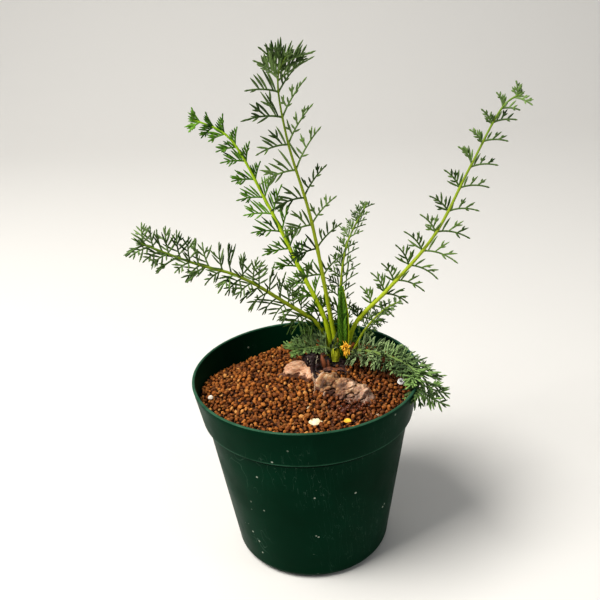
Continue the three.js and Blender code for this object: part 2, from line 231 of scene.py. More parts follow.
def spline(points, count):
    """Evenly spaced points on a centripetal curve through the given ones."""
    p = np.asarray(points, float)
    p = np.vstack([2 * p[0] - p[1], p, 2 * p[-1] - p[-2]])
    dense = []
    for i in range(1, len(p) - 2):
        a, b, c, d = p[i - 1 : i + 3]
        t0 = 0.0
        t1 = t0 + max(np.linalg.norm(b - a), 1e-6) ** 0.5
        t2 = t1 + max(np.linalg.norm(c - b), 1e-6) ** 0.5
        t3 = t2 + max(np.linalg.norm(d - c), 1e-6) ** 0.5
        t = np.linspace(t1, t2, 40, endpoint=False)[:, None]
        ab = (t1 - t) / (t1 - t0) * a + (t - t0) / (t1 - t0) * b
        bc = (t2 - t) / (t2 - t1) * b + (t - t1) / (t2 - t1) * c
        cd = (t3 - t) / (t3 - t2) * c + (t - t2) / (t3 - t2) * d
        abc = (t2 - t) / (t2 - t0) * ab + (t - t0) / (t2 - t0) * bc
        bcd = (t3 - t) / (t3 - t1) * bc + (t - t1) / (t3 - t1) * cd
        dense.append((t2 - t) / (t2 - t1) * abc + (t - t1) / (t2 - t1) * bcd)
    dense = np.vstack([*dense, p[-2]])
    run = np.append(0, np.cumsum(np.linalg.norm(np.diff(dense, axis=0), axis=1)))
    even = np.linspace(0, run[-1], count)
    return np.stack([np.interp(even, run, dense[:, k]) for k in range(3)], axis=1), run[-1]


# ---- materials


class Nodes:
    """A short way to write a node material."""

    def __init__(self, name):
        self.material = bpy.data.materials.new(name)
        self.material.use_nodes = True
        self.tree = self.material.node_tree
        self.shader = self.tree.nodes["Principled BSDF"]

    def node(self, kind, inputs=None, **settings):
        node = self.tree.nodes.new("ShaderNode" + kind)
        for key, value in settings.items():
            setattr(node, key, value)
        for key, value in (inputs or {}).items():
            self.set(node.inputs[key], value)
        return node

    def set(self, socket, value):
        if isinstance(value, bpy.types.NodeSocket):
            self.tree.links.new(value, socket)
        else:
            socket.default_value = value

    def shade(self, **values):
        for key, value in values.items():
            label = key.replace("_", " ").title().replace("Ior", "IOR")
            self.set(self.shader.inputs[label], value)

    def place(self):
        return self.node("TexCoord").outputs["Object"]

    def tint(self):
        values = self.node("Attribute", attribute_name="tint").outputs["Vector"]
        return self.node("SeparateXYZ", {0: values}).outputs

    def mapped(self, vector, **inputs):
        return self.node("Mapping", {"Vector": vector, **inputs}).outputs[0]

    def noise(self, scale, detail=4.0, rough=0.5, vector=None):
        inputs = {"Vector": vector or self.place(), "Scale": scale, "Detail": detail}
        return self.node("TexNoise", {**inputs, "Roughness": rough}).outputs["Fac"]

    def ramp(self, factor, stops):
        node = self.node("ValToRGB", {"Fac": factor})
        band = node.color_ramp
        while len(band.elements) < len(stops):
            band.elements.new(0.5)
        for element, (spot, value) in zip(band.elements, stops):
            element.position = spot
            element.color = (*value, 1)
        return node.outputs["Color"]

    def fade(self, factor, low, high, start=0.0, end=1.0):
        """From start to end as factor goes from low to high."""
        return self.ramp(factor, [(low, (start,) * 3), (high, (end,) * 3)])

    def mix(self, factor, a, b):
        node = self.node("Mix", data_type="RGBA")
        self.set(node.inputs[0], factor)
        for socket, value in ((node.inputs[6], a), (node.inputs[7], b)):
            self.set(socket, value if isinstance(value, bpy.types.NodeSocket) else (*value, 1))
        return node.outputs[2]

    def math(self, operation, a, b=0.0, c=0.0):
        return self.node("Math", {0: a, 1: b, 2: c}, operation=operation).outputs[0]

    def times(self, a, b):
        return self.math("MULTIPLY", a, b)

    def bump(self, height, strength, distance):
        inputs = {"Height": height, "Strength": strength, "Distance": distance * MM}
        self.set(self.shader.inputs["Normal"], self.node("Bump", inputs).outputs[0])


def leaf_material(name, rib, rib_tip, lobe_dark, lobe_light, rough, hair, tip_light=None):
    """Rib and lobes by the first part of the tint, young to old by the third."""
    m = Nodes(name)
    part, chance, along = m.tint()[:3]
    mottle = m.noise(900.0, 3.0)
    rib_colour = m.mix(along, rib, rib_tip)
    spread = m.times(m.math("SUBTRACT", mottle, 0.5), 1.2)
    light = m.node("Clamp", {"Value": m.math("ADD", chance, spread)}).outputs[0]
    fresh = m.mix(along, lobe_light, tip_light or lobe_light)
    lobe_colour = m.mix(light, lobe_dark, fresh)
    m.shade(base_color=m.mix(part, rib_colour, lobe_colour))
    m.shade(roughness=m.fade(mottle, 0.3, 0.7, rough - 0.08, rough + 0.1))
    m.shade(specular_ior_level=0.22)
    if hair:
        m.shade(sheen_weight=hair, sheen_roughness=0.4)
    m.bump(m.noise(2600.0, 2.0), 0.25, 0.08)
    return m.material


DEEP_GREEN, GREEN = (0.0003, 0.0185, 0.0075), (0.0006, 0.030, 0.0135)
DUST_GREEN = (0.012, 0.07, 0.04)
SPECK, SCRATCH = (0.3, 0.33, 0.27), (0.08, 0.13, 0.1)
# the band's and the rim's edge colours are wear with a painted highlight; the last is a painted
# shadow under the band
BAND_EDGE_WEAR_AND_HIGHLIGHT, RIM_WEAR_AND_HIGHLIGHT, BAND_SHADOW = (0.035, 0.11, 0.065), (0.05, 0.13, 0.08), (0.0, 0.004, 0.002)
EDGE_WEAR_AND_HIGHLIGHT_HEIGHT = 0.45  # of the band's lower edge and of the rim's top, where wear and a painted highlight lie, in mm
# reach of the painted shadow under the band, in mm
BAND_SHADOW_REACH = 1.0


def pot_material():
    m = Nodes("pot_plastic")
    place = m.place()
    z = m.node("SeparateXYZ", {0: place}).outputs[2]
    broad = m.noise(28.0, 3.0)
    base = m.ramp(broad, [(0.3, DEEP_GREEN), (0.75, GREEN)])
    # dust in soft upright streaks
    stretch = m.mapped(place, Scale=(1.0, 1.0, 0.16))
    dust = m.fade(m.noise(120.0, 6.0, 0.65, stretch), 0.55, 0.85, 0.0, 0.2)
    base = m.mix(dust, base, DUST_GREEN)
    # small pale specks and scratches
    cells = m.node("TexVoronoi", {"Vector": place, "Scale": 190.0}).outputs["Distance"]
    keep = m.fade(m.noise(55.0, 2.0), 0.56, 0.6)
    speck = m.times(m.math("LESS_THAN", cells, 0.11), keep)
    base = m.mix(speck, base, SPECK)
    slant = m.mapped(place, Rotation=(0.3, 0.5, 0.9))
    thin = m.mapped(slant, Scale=(1.0, 9.0, 1.0))
    line = m.noise(60.0, 2.0, 0.5, thin)
    scratch = m.math("COMPARE", line, 0.5, 0.004)
    scratch = m.times(scratch, m.fade(broad, 0.5, 0.6, 0.0, 0.4))
    base = m.mix(scratch, base, SCRATCH)
    # the band's lower edge is worn and carries a painted highlight, and a painted shadow lies in the
    # corner under it
    over = m.math("SUBTRACT", z, BAND_BOTTOM_Z * MM)
    # mask of the band's lower edge, where wear and a painted highlight lie
    edge = m.math("COMPARE", over, EDGE_WEAR_AND_HIGHLIGHT_HEIGHT * MM, 0.5 * MM)
    patchy = m.fade(m.noise(70.0, 3.0), 0.35, 0.65, 0.1, 0.75)
    base = m.mix(m.times(edge, patchy), base, BAND_EDGE_WEAR_AND_HIGHLIGHT)
    # painted shadow on the body just under the band's overhang
    under = m.math("COMPARE", over, -BAND_SHADOW_REACH * MM, BAND_SHADOW_REACH * MM)
    base = m.mix(m.times(under, 0.7), base, BAND_SHADOW)
    # the rim's top edge is worn pale, and this also paints a highlight on it
    top = m.math("GREATER_THAN", z, (POT_HEIGHT - EDGE_WEAR_AND_HIGHLIGHT_HEIGHT) * MM)
    worn = m.times(top, m.fade(m.noise(160.0), 0.3, 0.7, 0.35, 0.8))
    base = m.mix(worn, base, RIM_WEAR_AND_HIGHLIGHT)
    m.shade(base_color=base)
    rough = m.fade(m.noise(75.0, 5.0), 0.3, 0.7, 0.30, 0.46)
    m.shade(roughness=m.math("ADD", rough, m.times(dust, 0.6)))
    m.shade(specular_ior_level=0.025)
    fine = m.math("ADD", m.noise(1500.0, 2.0), m.times(m.noise(35.0, 2.0), 3.0))
    m.bump(fine, 0.18, 0.12)
    return m.material


def granule_material():
    """Granules: damp red by the first part of the tint, colour by the second, darkened with painted
    shade by the third.
    """
    m = Nodes("granules")
    red, chance, gap_shade = m.tint()[:3]
    dry = m.ramp(chance, [
        (0.0, (0.06, 0.013, 0.002)),
        (0.22, (0.17, 0.043, 0.006)),
        (0.5, (0.33, 0.1, 0.014)),
        (0.75, (0.48, 0.18, 0.035)),
        (0.93, (0.6, 0.3, 0.09)),
        (0.995, (0.8, 0.66, 0.45)),
    ])
    warm = m.mix(red, dry, (0.09, 0.012, 0.008))
    dusty = m.fade(m.noise(1300.0, 5.0, 0.7), 0.4, 0.75, 0.0, 0.35)
    base = m.mix(dusty, warm, (0.55, 0.25, 0.06))
    pores = m.fade(m.noise(2600.0, 3.0), 0.32, 0.5, 0.45, 0.0)
    base = m.mix(pores, base, (0.05, 0.011, 0.002))
    # painted shade: grains lying low in the gaps between others are darkened
    m.shade(base_color=m.mix(gap_shade, base, (0.02, 0.005, 0.002)))
    dry_rough = m.fade(m.noise(700.0), 0.3, 0.7, 0.6, 0.9)
    m.shade(roughness=m.math("SUBTRACT", dry_rough, m.times(red, 0.42)))
    m.shade(specular_ior_level=0.3)
    m.bump(m.noise(1900.0, 5.0, 0.65), 0.6, 0.25)
    return m.material


# colours of the soil stain, of painted shade in the hollows, of the dusted part and of painted
# highlights on the crests
SOIL, HOLLOW_SHADE = (0.09, 0.025, 0.008), (0.03, 0.01, 0.006)
DUSTED, RIDGE_HIGHLIGHT = (0.72, 0.5, 0.38), (0.8, 0.6, 0.46)
FADE_FROM, FADE_TO = CROWN_X - 4, CROWN_X + 9  # where the arm turns paler, along X


def tuber_material():
    """The root: smooth and pink by the first part of the tint, bark elsewhere."""
    m = Nodes("tuber_skin")
    pink, chance, high = m.tint()[:3]
    place = m.place()
    streak = m.mapped(place, Rotation=(0, 0, 0.25), Scale=(0.22, 1, 1))
    grain = m.noise(900.0, 6.0, 0.7, streak)
    smooth = m.ramp(grain, [
        (0.28, (0.2, 0.07, 0.03)), (0.46, (0.52, 0.27, 0.15)), (0.7, (0.85, 0.6, 0.43))
    ])
    patches = m.noise(260.0, 6.0, 0.65)
    bark = m.ramp(patches, [
        (0.3, (0.035, 0.010, 0.004)),
        (0.42, (0.16, 0.058, 0.02)),
        (0.52, (0.32, 0.155, 0.06)),
        (0.62, (0.36, 0.235, 0.12)),
        (0.74, (0.72, 0.48, 0.33)),
    ])
    base = m.mix(pink, bark, smooth)
    soil = m.fade(m.math("SUBTRACT", high, m.times(m.noise(420.0), 0.55)), -0.2, 0.0, 0.9, 0.0)
    base = m.mix(soil, base, SOIL)
    # painted shade in the hollows of the relief
    hollow = m.fade(chance, 0.3, 0.5, 0.85, 0.0)
    base = m.mix(hollow, base, HOLLOW_SHADE)
    far = m.node("SeparateXYZ", {0: place}).outputs[0]
    far = m.node("MapRange", {0: far, 1: FADE_FROM * MM, 2: FADE_TO * MM, 3: 0.0, 4: 0.3}).outputs[0]
    base = m.mix(m.times(far, m.math("SUBTRACT", 1.0, pink)), base, DUSTED)
    # painted highlight on the crests of the relief
    crest = m.fade(chance, 0.58, 0.78, 0.0, 0.45)
    base = m.mix(crest, base, RIDGE_HIGHLIGHT)
    m.shade(base_color=base)
    m.shade(roughness=m.fade(patches, 0.3, 0.7, 0.85, 0.6))
    m.shade(subsurface_weight=0.08, subsurface_scale=0.001)
    m.bump(m.math("ADD", grain, patches), 0.7, 0.35)
    return m.material


def plain_grown(name, dark, light, rough=0.8, scale=500.0, stretch=1.0, bump=0.4):
    """A dry plant skin: two colours in streaks."""
    m = Nodes(name)
    place = m.place()
    vector = m.mapped(place, Scale=(1.0, 1.0, stretch))
    pattern = m.noise(scale, 6.0, 0.65, vector)
    m.shade(base_color=m.ramp(pattern, [(0.3, dark), (0.7, light)]))
    m.shade(roughness=m.fade(pattern, 0.2, 0.8, rough + 0.1, rough - 0.1))
    m.bump(pattern, bump, 0.2)
    return m.material


FRESH = leaf_material(
    "fresh_leaf",
    rib=(0.46, 0.54, 0.02), rib_tip=(0.12, 0.2, 0.02),
    lobe_dark=(0.016, 0.042, 0.004), lobe_light=(0.12, 0.21, 0.03),
    rough=0.5, hair=0.0, tip_light=(0.2, 0.3, 0.1),
)
BRIGHT = leaf_material(
    "bright_leaf",
    rib=(0.56, 0.68, 0.02), rib_tip=(0.22, 0.38, 0.015),
    lobe_dark=(0.018, 0.06, 0.004), lobe_light=(0.15, 0.32, 0.025),
    rough=0.5, hair=0.0,
)
OLD = leaf_material(
    "old_leaf",
    rib=(0.16, 0.22, 0.045), rib_tip=(0.13, 0.2, 0.06),
    lobe_dark=(0.025, 0.05, 0.014), lobe_light=(0.36, 0.44, 0.23),
    rough=0.65, hair=0.12, tip_light=(0.24, 0.4, 0.1),
)
POT = pot_material()
GRANULES = granule_material()
TUBER = tuber_material()
FIBRE = plain_grown("crown_fibre", (0.003, 0.001, 0.0012), (0.035, 0.008, 0.007), 0.6, 500.0)
SCALE = plain_grown("dry_scale", (0.02, 0.005, 0.004), (0.36, 0.12, 0.045), 0.6, 420.0, 0.3)
WITHERED = plain_grown("withered_tissue", (0.7, 0.28, 0.01), (0.95, 0.6, 0.06), 0.75, 600.0)
SHEATH = plain_grown("sheath_skin", (0.4, 0.42, 0.02), (0.64, 0.7, 0.06), 0.5, 300.0, 0.5)
PALE = plain_grown("pale_tissue", (0.45, 0.36, 0.22), (0.8, 0.72, 0.55), 0.75, 600.0, 0.4)
ROOT = plain_grown("pale_root", (0.2, 0.1, 0.05), (0.52, 0.38, 0.26), 0.75, 600.0, 0.4)
CREAM = plain_grown("cream_chip", (0.62, 0.45, 0.2), (0.92, 0.86, 0.64), 0.7, 700.0)


def ring_material():
    m = Nodes("ring_mineral")
    middle = m.tint()[0]
    pattern = m.noise(900.0, 5.0)
    white = m.ramp(pattern, [(0.3, (0.85, 0.82, 0.78)), (0.7, (0.97, 0.96, 0.94))])
    grey = m.ramp(pattern, [(0.3, (0.12, 0.12, 0.11)), (0.7, (0.28, 0.27, 0.25))])
    core = m.fade(middle, 0.35, 0.6)
    m.shade(base_color=m.mix(core, white, grey))
    m.shade(roughness=m.fade(pattern, 0.3, 0.7, 0.6, 0.85))
    m.bump(pattern, 0.4, 0.15)
    return m.material


RING = ring_material()
CHALK = plain_grown("pale_mineral", (0.55, 0.47, 0.36), (0.9, 0.86, 0.78), 0.85, 900.0)

# ---- pot


ON_AXIS = 1e-9


def lathe(mesh, profile, sides):
    """A ring solid of a closed profile of (radius, z); radius 0 makes a pole."""
    turns = 2 * np.pi * np.arange(sides) / sides
    points, starts = [], []
    count = 0
    for radius, z in profile:
        starts.append(count)
        if radius < ON_AXIS:
            points.append([[0, 0, z]])
            count += 1
        else:
            ring = np.stack([radius * np.cos(turns), radius * np.sin(turns)], axis=1)
            points.append(np.column_stack([ring, np.full(sides, z)]))
            count += sides
    faces = []
    for k in range(len(profile) - 1):
        a, b = starts[k], starts[k + 1]
        pole_a, pole_b = profile[k][0] < ON_AXIS, profile[k + 1][0] < ON_AXIS
        for i in range(sides):
            j = (i + 1) % sides
            if pole_a:
                faces.append((a, b + j, b + i))
            elif pole_b:
                faces.append((a + i, a + j, b))
            else:
                faces.append((a + i, a + j, b + j, b + i))
    mesh.add(np.vstack(points), faces, (0, 0, 0))


def arc(centre, radius, start, end, steps=6):
    turns = np.radians(np.linspace(start, end, steps))
    return [(centre[0] + radius * math.cos(t), centre[1] + radius * math.sin(t)) for t in turns]


def body_radius(z):
    return POT_BASE_RADIUS + (BODY_TOP_RADIUS - POT_BASE_RADIUS) * z / BAND_BOTTOM_Z


def run(start, end, steps):
    """Points between two, without the ends."""
    a, b = np.array(start), np.array(end)
    return [tuple(a + (b - a) * k / steps) for k in range(1, steps)]


def make_pot():
    corner_r = body_radius(BASE_CORNER) - BASE_CORNER
    edge = STEP_ROUND
    rim_out = (POT_TOP_RADIUS - RIM_ROUND, POT_HEIGHT - RIM_ROUND)
    rim_in = (POT_TOP_RADIUS - POT_WALL + RIM_ROUND, POT_HEIGHT - RIM_ROUND)
    profile = [(0, 0)]
    profile += run((0, 0), (corner_r, 0), 5)
    profile += arc((corner_r, BASE_CORNER), BASE_CORNER, -90, 0, 10)
    profile += run((body_radius(BASE_CORNER), BASE_CORNER), (BODY_TOP_RADIUS, BAND_BOTTOM_Z), 24)
    profile += arc((BODY_TOP_RADIUS + edge, BAND_BOTTOM_Z - edge), edge, 180, 90, 4)
    profile += arc((BAND_BOTTOM_RADIUS - edge, BAND_BOTTOM_Z + edge), edge, -90, 0, 4)
    profile += run((BAND_BOTTOM_RADIUS, BAND_BOTTOM_Z + edge), (POT_TOP_RADIUS, rim_out[1]), 8)
    profile += arc(rim_out, RIM_ROUND, 0, 90, 5)
    profile += arc(rim_in, RIM_ROUND, 90, 180, 5)
    inner_step_z = BAND_BOTTOM_Z + POT_WALL
    inner_band = band_radius(inner_step_z) - POT_WALL
    profile += run((POT_TOP_RADIUS - POT_WALL, rim_in[1]), (inner_band, inner_step_z), 8)
    profile += arc((inner_band - edge, inner_step_z + edge), edge, 0, -90, 4)
    profile += [(BODY_TOP_RADIUS - POT_WALL, inner_step_z)]
    profile += run(profile[-1], (body_radius(BASE_CORNER) - POT_WALL, BASE_CORNER), 16)
    profile += [(body_radius(BASE_CORNER) - POT_WALL, BASE_CORNER), (corner_r, POT_FLOOR)]
    profile += run((corner_r, POT_FLOOR), (0, POT_FLOOR), 5)
    profile += [(0, POT_FLOOR)]
    mesh = Mesh()
    lathe(mesh, profile, POT_SIDES)
    pot = mesh.build("pot", POT, "pot_plastic")
    cut = Mesh()
    for i in range(DRAIN_HOLES):
        turn = 2 * math.pi * i / DRAIN_HOLES
        centre = np.array([math.cos(turn), math.sin(turn), 0]) * DRAIN_RING_RADIUS
        path = centre + np.array([[0, 0, z] for z in (-4.0, -1.0, 2.5, 4.0)])
        cut.tube(path, DRAIN_HOLE_RADIUS, DRAIN_HOLE_RADIUS, (1, 0, 0), (0, 0, 0), sides=32, tip=0)
    holes = cut.build("drain_cut", POT, "pot_plastic")
    change = pot.modifiers.new("holes", "BOOLEAN")
    change.operation = "DIFFERENCE"
    change.solver = "EXACT"
    change.object = holes
    apply_modifiers(pot)
    bpy.data.objects.remove(holes)
    pot.data.shade_smooth()
    pot.data.set_sharp_from_angle(angle=math.radians(50))
    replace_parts(pot, "nursery_pot")


def apply_modifiers(piece):
    graph = bpy.context.evaluated_depsgraph_get()
    done = bpy.data.meshes.new_from_object(piece.evaluated_get(graph))
    old = piece.data
    piece.modifiers.clear()
    piece.data = done
    bpy.data.meshes.remove(old)


# ---- tuber and crown shapes

# Each lobe: right of and behind the crown, height out of the granules, half sizes, turn.
TUBER_LOBES = [
    (-21.0, -11.0, 6.2, (7.0, 4.6, 7.0), 8),
    (-9.0, -17.5, 2.6, (6.0, 6.5, 6.0), -40),
    (-5.5, -26.5, 6.5, (7.0, 8.5, 8.5), 10),
    (1.5, -30.5, 6.0, (7.5, 7.0, 8.0), -30),
    (8.0, -33.5, 4.5, (7.0, 5.5, 6.5), -25),
]


def lobe_centres():
    for right, back, bulge, half, turn in TUBER_LOBES:
        x, y = CROWN_X + right, CROWN_Y + back
        z = float(level(x, y)) + bulge - half[2]
        yield np.array([x, y, z]), np.array(half), math.radians(turn)


# ---- granules


def ball(subdivisions):
    """Points and faces of an icosphere of radius 1."""
    work = bmesh.new()
    bmesh.ops.create_icosphere(work, subdivisions=subdivisions, radius=1.0)
    points = np.array([v.co[:] for v in work.verts])
    faces = [tuple(v.index for v in f.verts) for f in work.faces]
    work.free()
    return points, faces


def scatter(rng, spacing, radius, tries):
    """Places in a disc, none nearer than spacing to another."""
    cell = spacing / math.sqrt(2)
    size = int(2 * radius / cell) + 3
    grid = -np.ones((size, size), int)
    places = []
    for _ in range(tries):
        r = radius * math.sqrt(rng.random())
        t = 2 * math.pi * rng.random()
        x, y = r * math.cos(t), r * math.sin(t)
        i, j = int((x + radius) / cell) + 1, int((y + radius) / cell) + 1
        near = grid[max(i - 2, 0) : i + 3, max(j - 2, 0) : j + 3].ravel()
        if all((places[k][0] - x) ** 2 + (places[k][1] - y) ** 2 > spacing**2
               for k in near if k >= 0):
            grid[i, j] = len(places)
            places.append((x, y))
    return np.array(places)


# Layers of granules: name, spacing, height over the surface, mean radius.
GRANULE_LAYERS = [
    ("granules_low", 1.75, -1.3, 1.15),
    ("granules_mid", 1.8, -0.2, 1.05),
    ("granules_top", 2.35, 0.7, 0.98),
]
SCATTER_TRIES = 40000
GRAIN_SHAPES = 14
GRAIN_CUTS = 5

# Where the granules are red and damp: x, y and reach.
WET_PATCH = (19.0, -23.0, 9.0)
PALE_SHARE = 0.006
BED_BELOW = 1.6  # the bed under the surface


def random_turns(rng, count):
    """Rotation matrices, all directions alike."""
    q = rng.normal(size=(count, 4))
    q /= np.linalg.norm(q, axis=1)[:, None]
    w, x, y, z = q.T
    return np.stack([
        np.stack([1 - 2 * (y * y + z * z), 2 * (x * y - z * w), 2 * (x * z + y * w)], -1),
        np.stack([2 * (x * y + z * w), 1 - 2 * (x * x + z * z), 2 * (y * z - x * w)], -1),
        np.stack([2 * (x * z - y * w), 2 * (y * z + x * w), 1 - 2 * (x * x + y * y)], -1),
    ], 1)


def make_granules():
    """Three layers of loose grains, each grain a chipped ball from a few shapes."""
    rng = np.random.default_rng(11)
    points, faces = ball(2)
    faces = np.array(faces)
    shapes = []
    for k in range(GRAIN_SHAPES):
        offset = Vector((k * 7.3, k * 3.1, 1.7))
        cuts = random_turns(rng, GRAIN_CUTS)[:, 0]
        shape = points.copy()
        for cut in cuts:
            past = np.maximum(shape @ cut - rng.uniform(0.42, 0.75), 0)
            shape -= 0.85 * past[:, None] * cut
        swell = [1 + 0.35 * noise.noise(Vector(p) * 1.6 + offset) for p in points]
        shapes.append(shape * np.array(swell)[:, None])
    shapes = np.array(shapes)
    for name, spacing, height, size in GRANULE_LAYERS:
        spots = scatter(rng, spacing, EDGE_RADIUS - 0.9, SCATTER_TRIES)
        count = len(spots)
        radii = size * np.clip(rng.normal(1, 0.16, count), 0.62, 1.4)
        z = level(spots[:, 0], spots[:, 1]) + height + rng.normal(0, 0.25, count)
        stretch = rng.uniform(0.7, 1.25, (count, 1, 3))
        local = shapes[rng.integers(0, len(shapes), count)] * stretch * radii[:, None, None]
        local = np.einsum("nij,nkj->nki", random_turns(rng, count), local)
        centres = np.column_stack([spots, z])
        all_points = (local + centres[:, None, :]).reshape(-1, 3)
        steps = (np.arange(count) * len(points))[:, None, None]
        all_faces = (faces[None] + steps).reshape(-1, 3)
        wet_reach = np.hypot(spots[:, 0] - WET_PATCH[0], spots[:, 1] - WET_PATCH[1])
        red = np.exp(-((wet_reach / WET_PATCH[2]) ** 2)) * rng.uniform(0.6, 1.3, count)
        red = np.clip(red + np.clip(spots[:, 0] / 60, 0, 0.5) * rng.random(count), 0, 1)
        chance = np.clip(rng.normal(0.46, 0.25, count), 0, 0.92)
        chance[rng.random(count) < PALE_SHARE] = 1.0
        # painted shade for the gaps: the lower the layer, the darker its grains
        gap_shade = np.clip(0.35 - height * 0.45, 0, 1) * np.ones(count)
        tints = np.repeat(np.column_stack([red, chance, gap_shade]), len(points), axis=0)
        mesh = Mesh()
        mesh.add(all_points, all_faces.tolist(), tints)
        mesh.build(name, GRANULES, "granules")


def make_bed():
    """The fill under the loose granules, down to the pot's floor."""
    sides, shares = 96, np.linspace(1, 0, 24)[:-1]
    gap = 0.4
    profile = [
        (0, POT_FLOOR + gap), (30.0, POT_FLOOR + gap),
        (body_radius(BASE_CORNER) - POT_WALL - gap, BASE_CORNER + gap),
        (BODY_TOP_RADIUS - POT_WALL - gap, BAND_BOTTOM_Z - 1.0),
    ]
    turns = 2 * np.pi * np.arange(sides) / sides
    rings = []
    for radius, z in profile[1:]:
        rings.append(np.column_stack([radius * np.cos(turns), radius * np.sin(turns),
                                      np.full(sides, z)]))
    for share in shares:
        x, y = share * EDGE_RADIUS * np.cos(turns), share * EDGE_RADIUS * np.sin(turns)
        rings.append(np.column_stack([x, y, level(x, y) - BED_BELOW]))
    peak = [[0, 0, float(level(0, 0)) - BED_BELOW]]
    points = np.vstack([[[0, 0, profile[0][1]]], *rings, peak])
    top = len(points) - 1
    faces = []
    for i in range(sides):
        j = (i + 1) % sides
        faces.append((0, 1 + j, 1 + i))
        for k in range(len(rings) - 1):
            low = 1 + k * sides
            faces.append((low + i, low + j, low + sides + j, low + sides + i))
        last = 1 + (len(rings) - 1) * sides
        faces.append((last + i, last + j, top))
    mesh = Mesh()
    # the third part, 0.85, paints the bed dark with shade where it shows between the grains
    mesh.add(points, faces, (0.3, 0.3, 0.85))
    return mesh.build("granule_bed", GRANULES, "granules")


# ---- leaves

# A leaflet's lobes: place along it, length as a share of it, angle off its axis, and forks.
# The front lobes are on the side of the leaf's tip, the rear ones on the side of its foot.
OPEN_COMB = dict(
    front=[(0.28, 0.46, 68, 1), (0.42, 0.2, 75, 0), (0.55, 0.36, 55, 1), (0.75, 0.26, 45, 1),
           (0.88, 0.14, 40, 0)],
    rear=[(0.34, 0.16, 60, 0), (0.66, 0.16, 40, 0)],
)
DENSE_FAN = dict(
    front=[(0.1, 0.64, 52, 0), (0.22, 0.66, 44, 1), (0.38, 0.6, 38, 0), (0.52, 0.5, 34, 1),
           (0.68, 0.36, 31, 0)],
    rear=[(0.4, 0.3, 44, 0), (0.56, 0.3, 38, 1), (0.7, 0.24, 36, 0), (0.84, 0.16, 34, 0)],
)
BRUSH = dict(
    front=[(0.06, 0.56, 44, 0), (0.18, 0.6, 40, 1), (0.34, 0.54, 36, 0), (0.5, 0.44, 32, 1),
           (0.68, 0.3, 28, 0)],
    rear=[(0.6, 0.18, 24, 0)],
)
FORKED_FAN = dict(
    front=[(0.14, 0.5, 50, 0), (0.3, 0.52, 46, 1), (0.46, 0.42, 44, 1), (0.66, 0.3, 38, 1)],
    rear=[(0.08, 0.55, 46, 1), (0.36, 0.34, 42, 0), (0.62, 0.24, 36, 0)],
)
SLENDER = dict(
    front=[(0.16, 0.5, 62, 0), (0.4, 0.5, 52, 1), (0.66, 0.34, 44, 1)],
    rear=[(0.62, 0.2, 40, 0)],
)
PAIRED = dict(
    front=[(0.2, 0.4, 50, 1), (0.38, 0.42, 46, 1), (0.56, 0.36, 42, 1), (0.75, 0.24, 38, 0)],
    rear=[(0.22, 0.36, 50, 1), (0.42, 0.4, 46, 1), (0.6, 0.32, 42, 0), (0.78, 0.2, 38, 0)],
)
SPIKY = dict(
    front=[(0.1, 0.58, 68, 0), (0.28, 0.64, 56, 0), (0.48, 0.55, 47, 1), (0.7, 0.36, 38, 0)],
    rear=[(0.17, 0.56, 64, 0), (0.37, 0.6, 52, 0), (0.57, 0.46, 43, 1), (0.77, 0.3, 36, 0)],
)
BUSHY = dict(
    front=[(0.07, 0.4, 58, 0), (0.17, 0.48, 54, 1), (0.28, 0.52, 50, 1), (0.4, 0.5, 47, 1),
           (0.52, 0.44, 44, 1), (0.65, 0.36, 40, 0), (0.8, 0.26, 36, 0)],
    rear=[(0.1, 0.4, 58, 0), (0.22, 0.48, 54, 1), (0.34, 0.5, 50, 1), (0.46, 0.44, 46, 0),
          (0.59, 0.38, 42, 1), (0.74, 0.28, 38, 0)],
)


REAR_SHARE = 0.75  # of the lobes on a leaflet's rear side, the share that grows
RIB_STEPS = 140
DROOP_AZIMUTH = -11  # where the drooping leaf crosses the rim


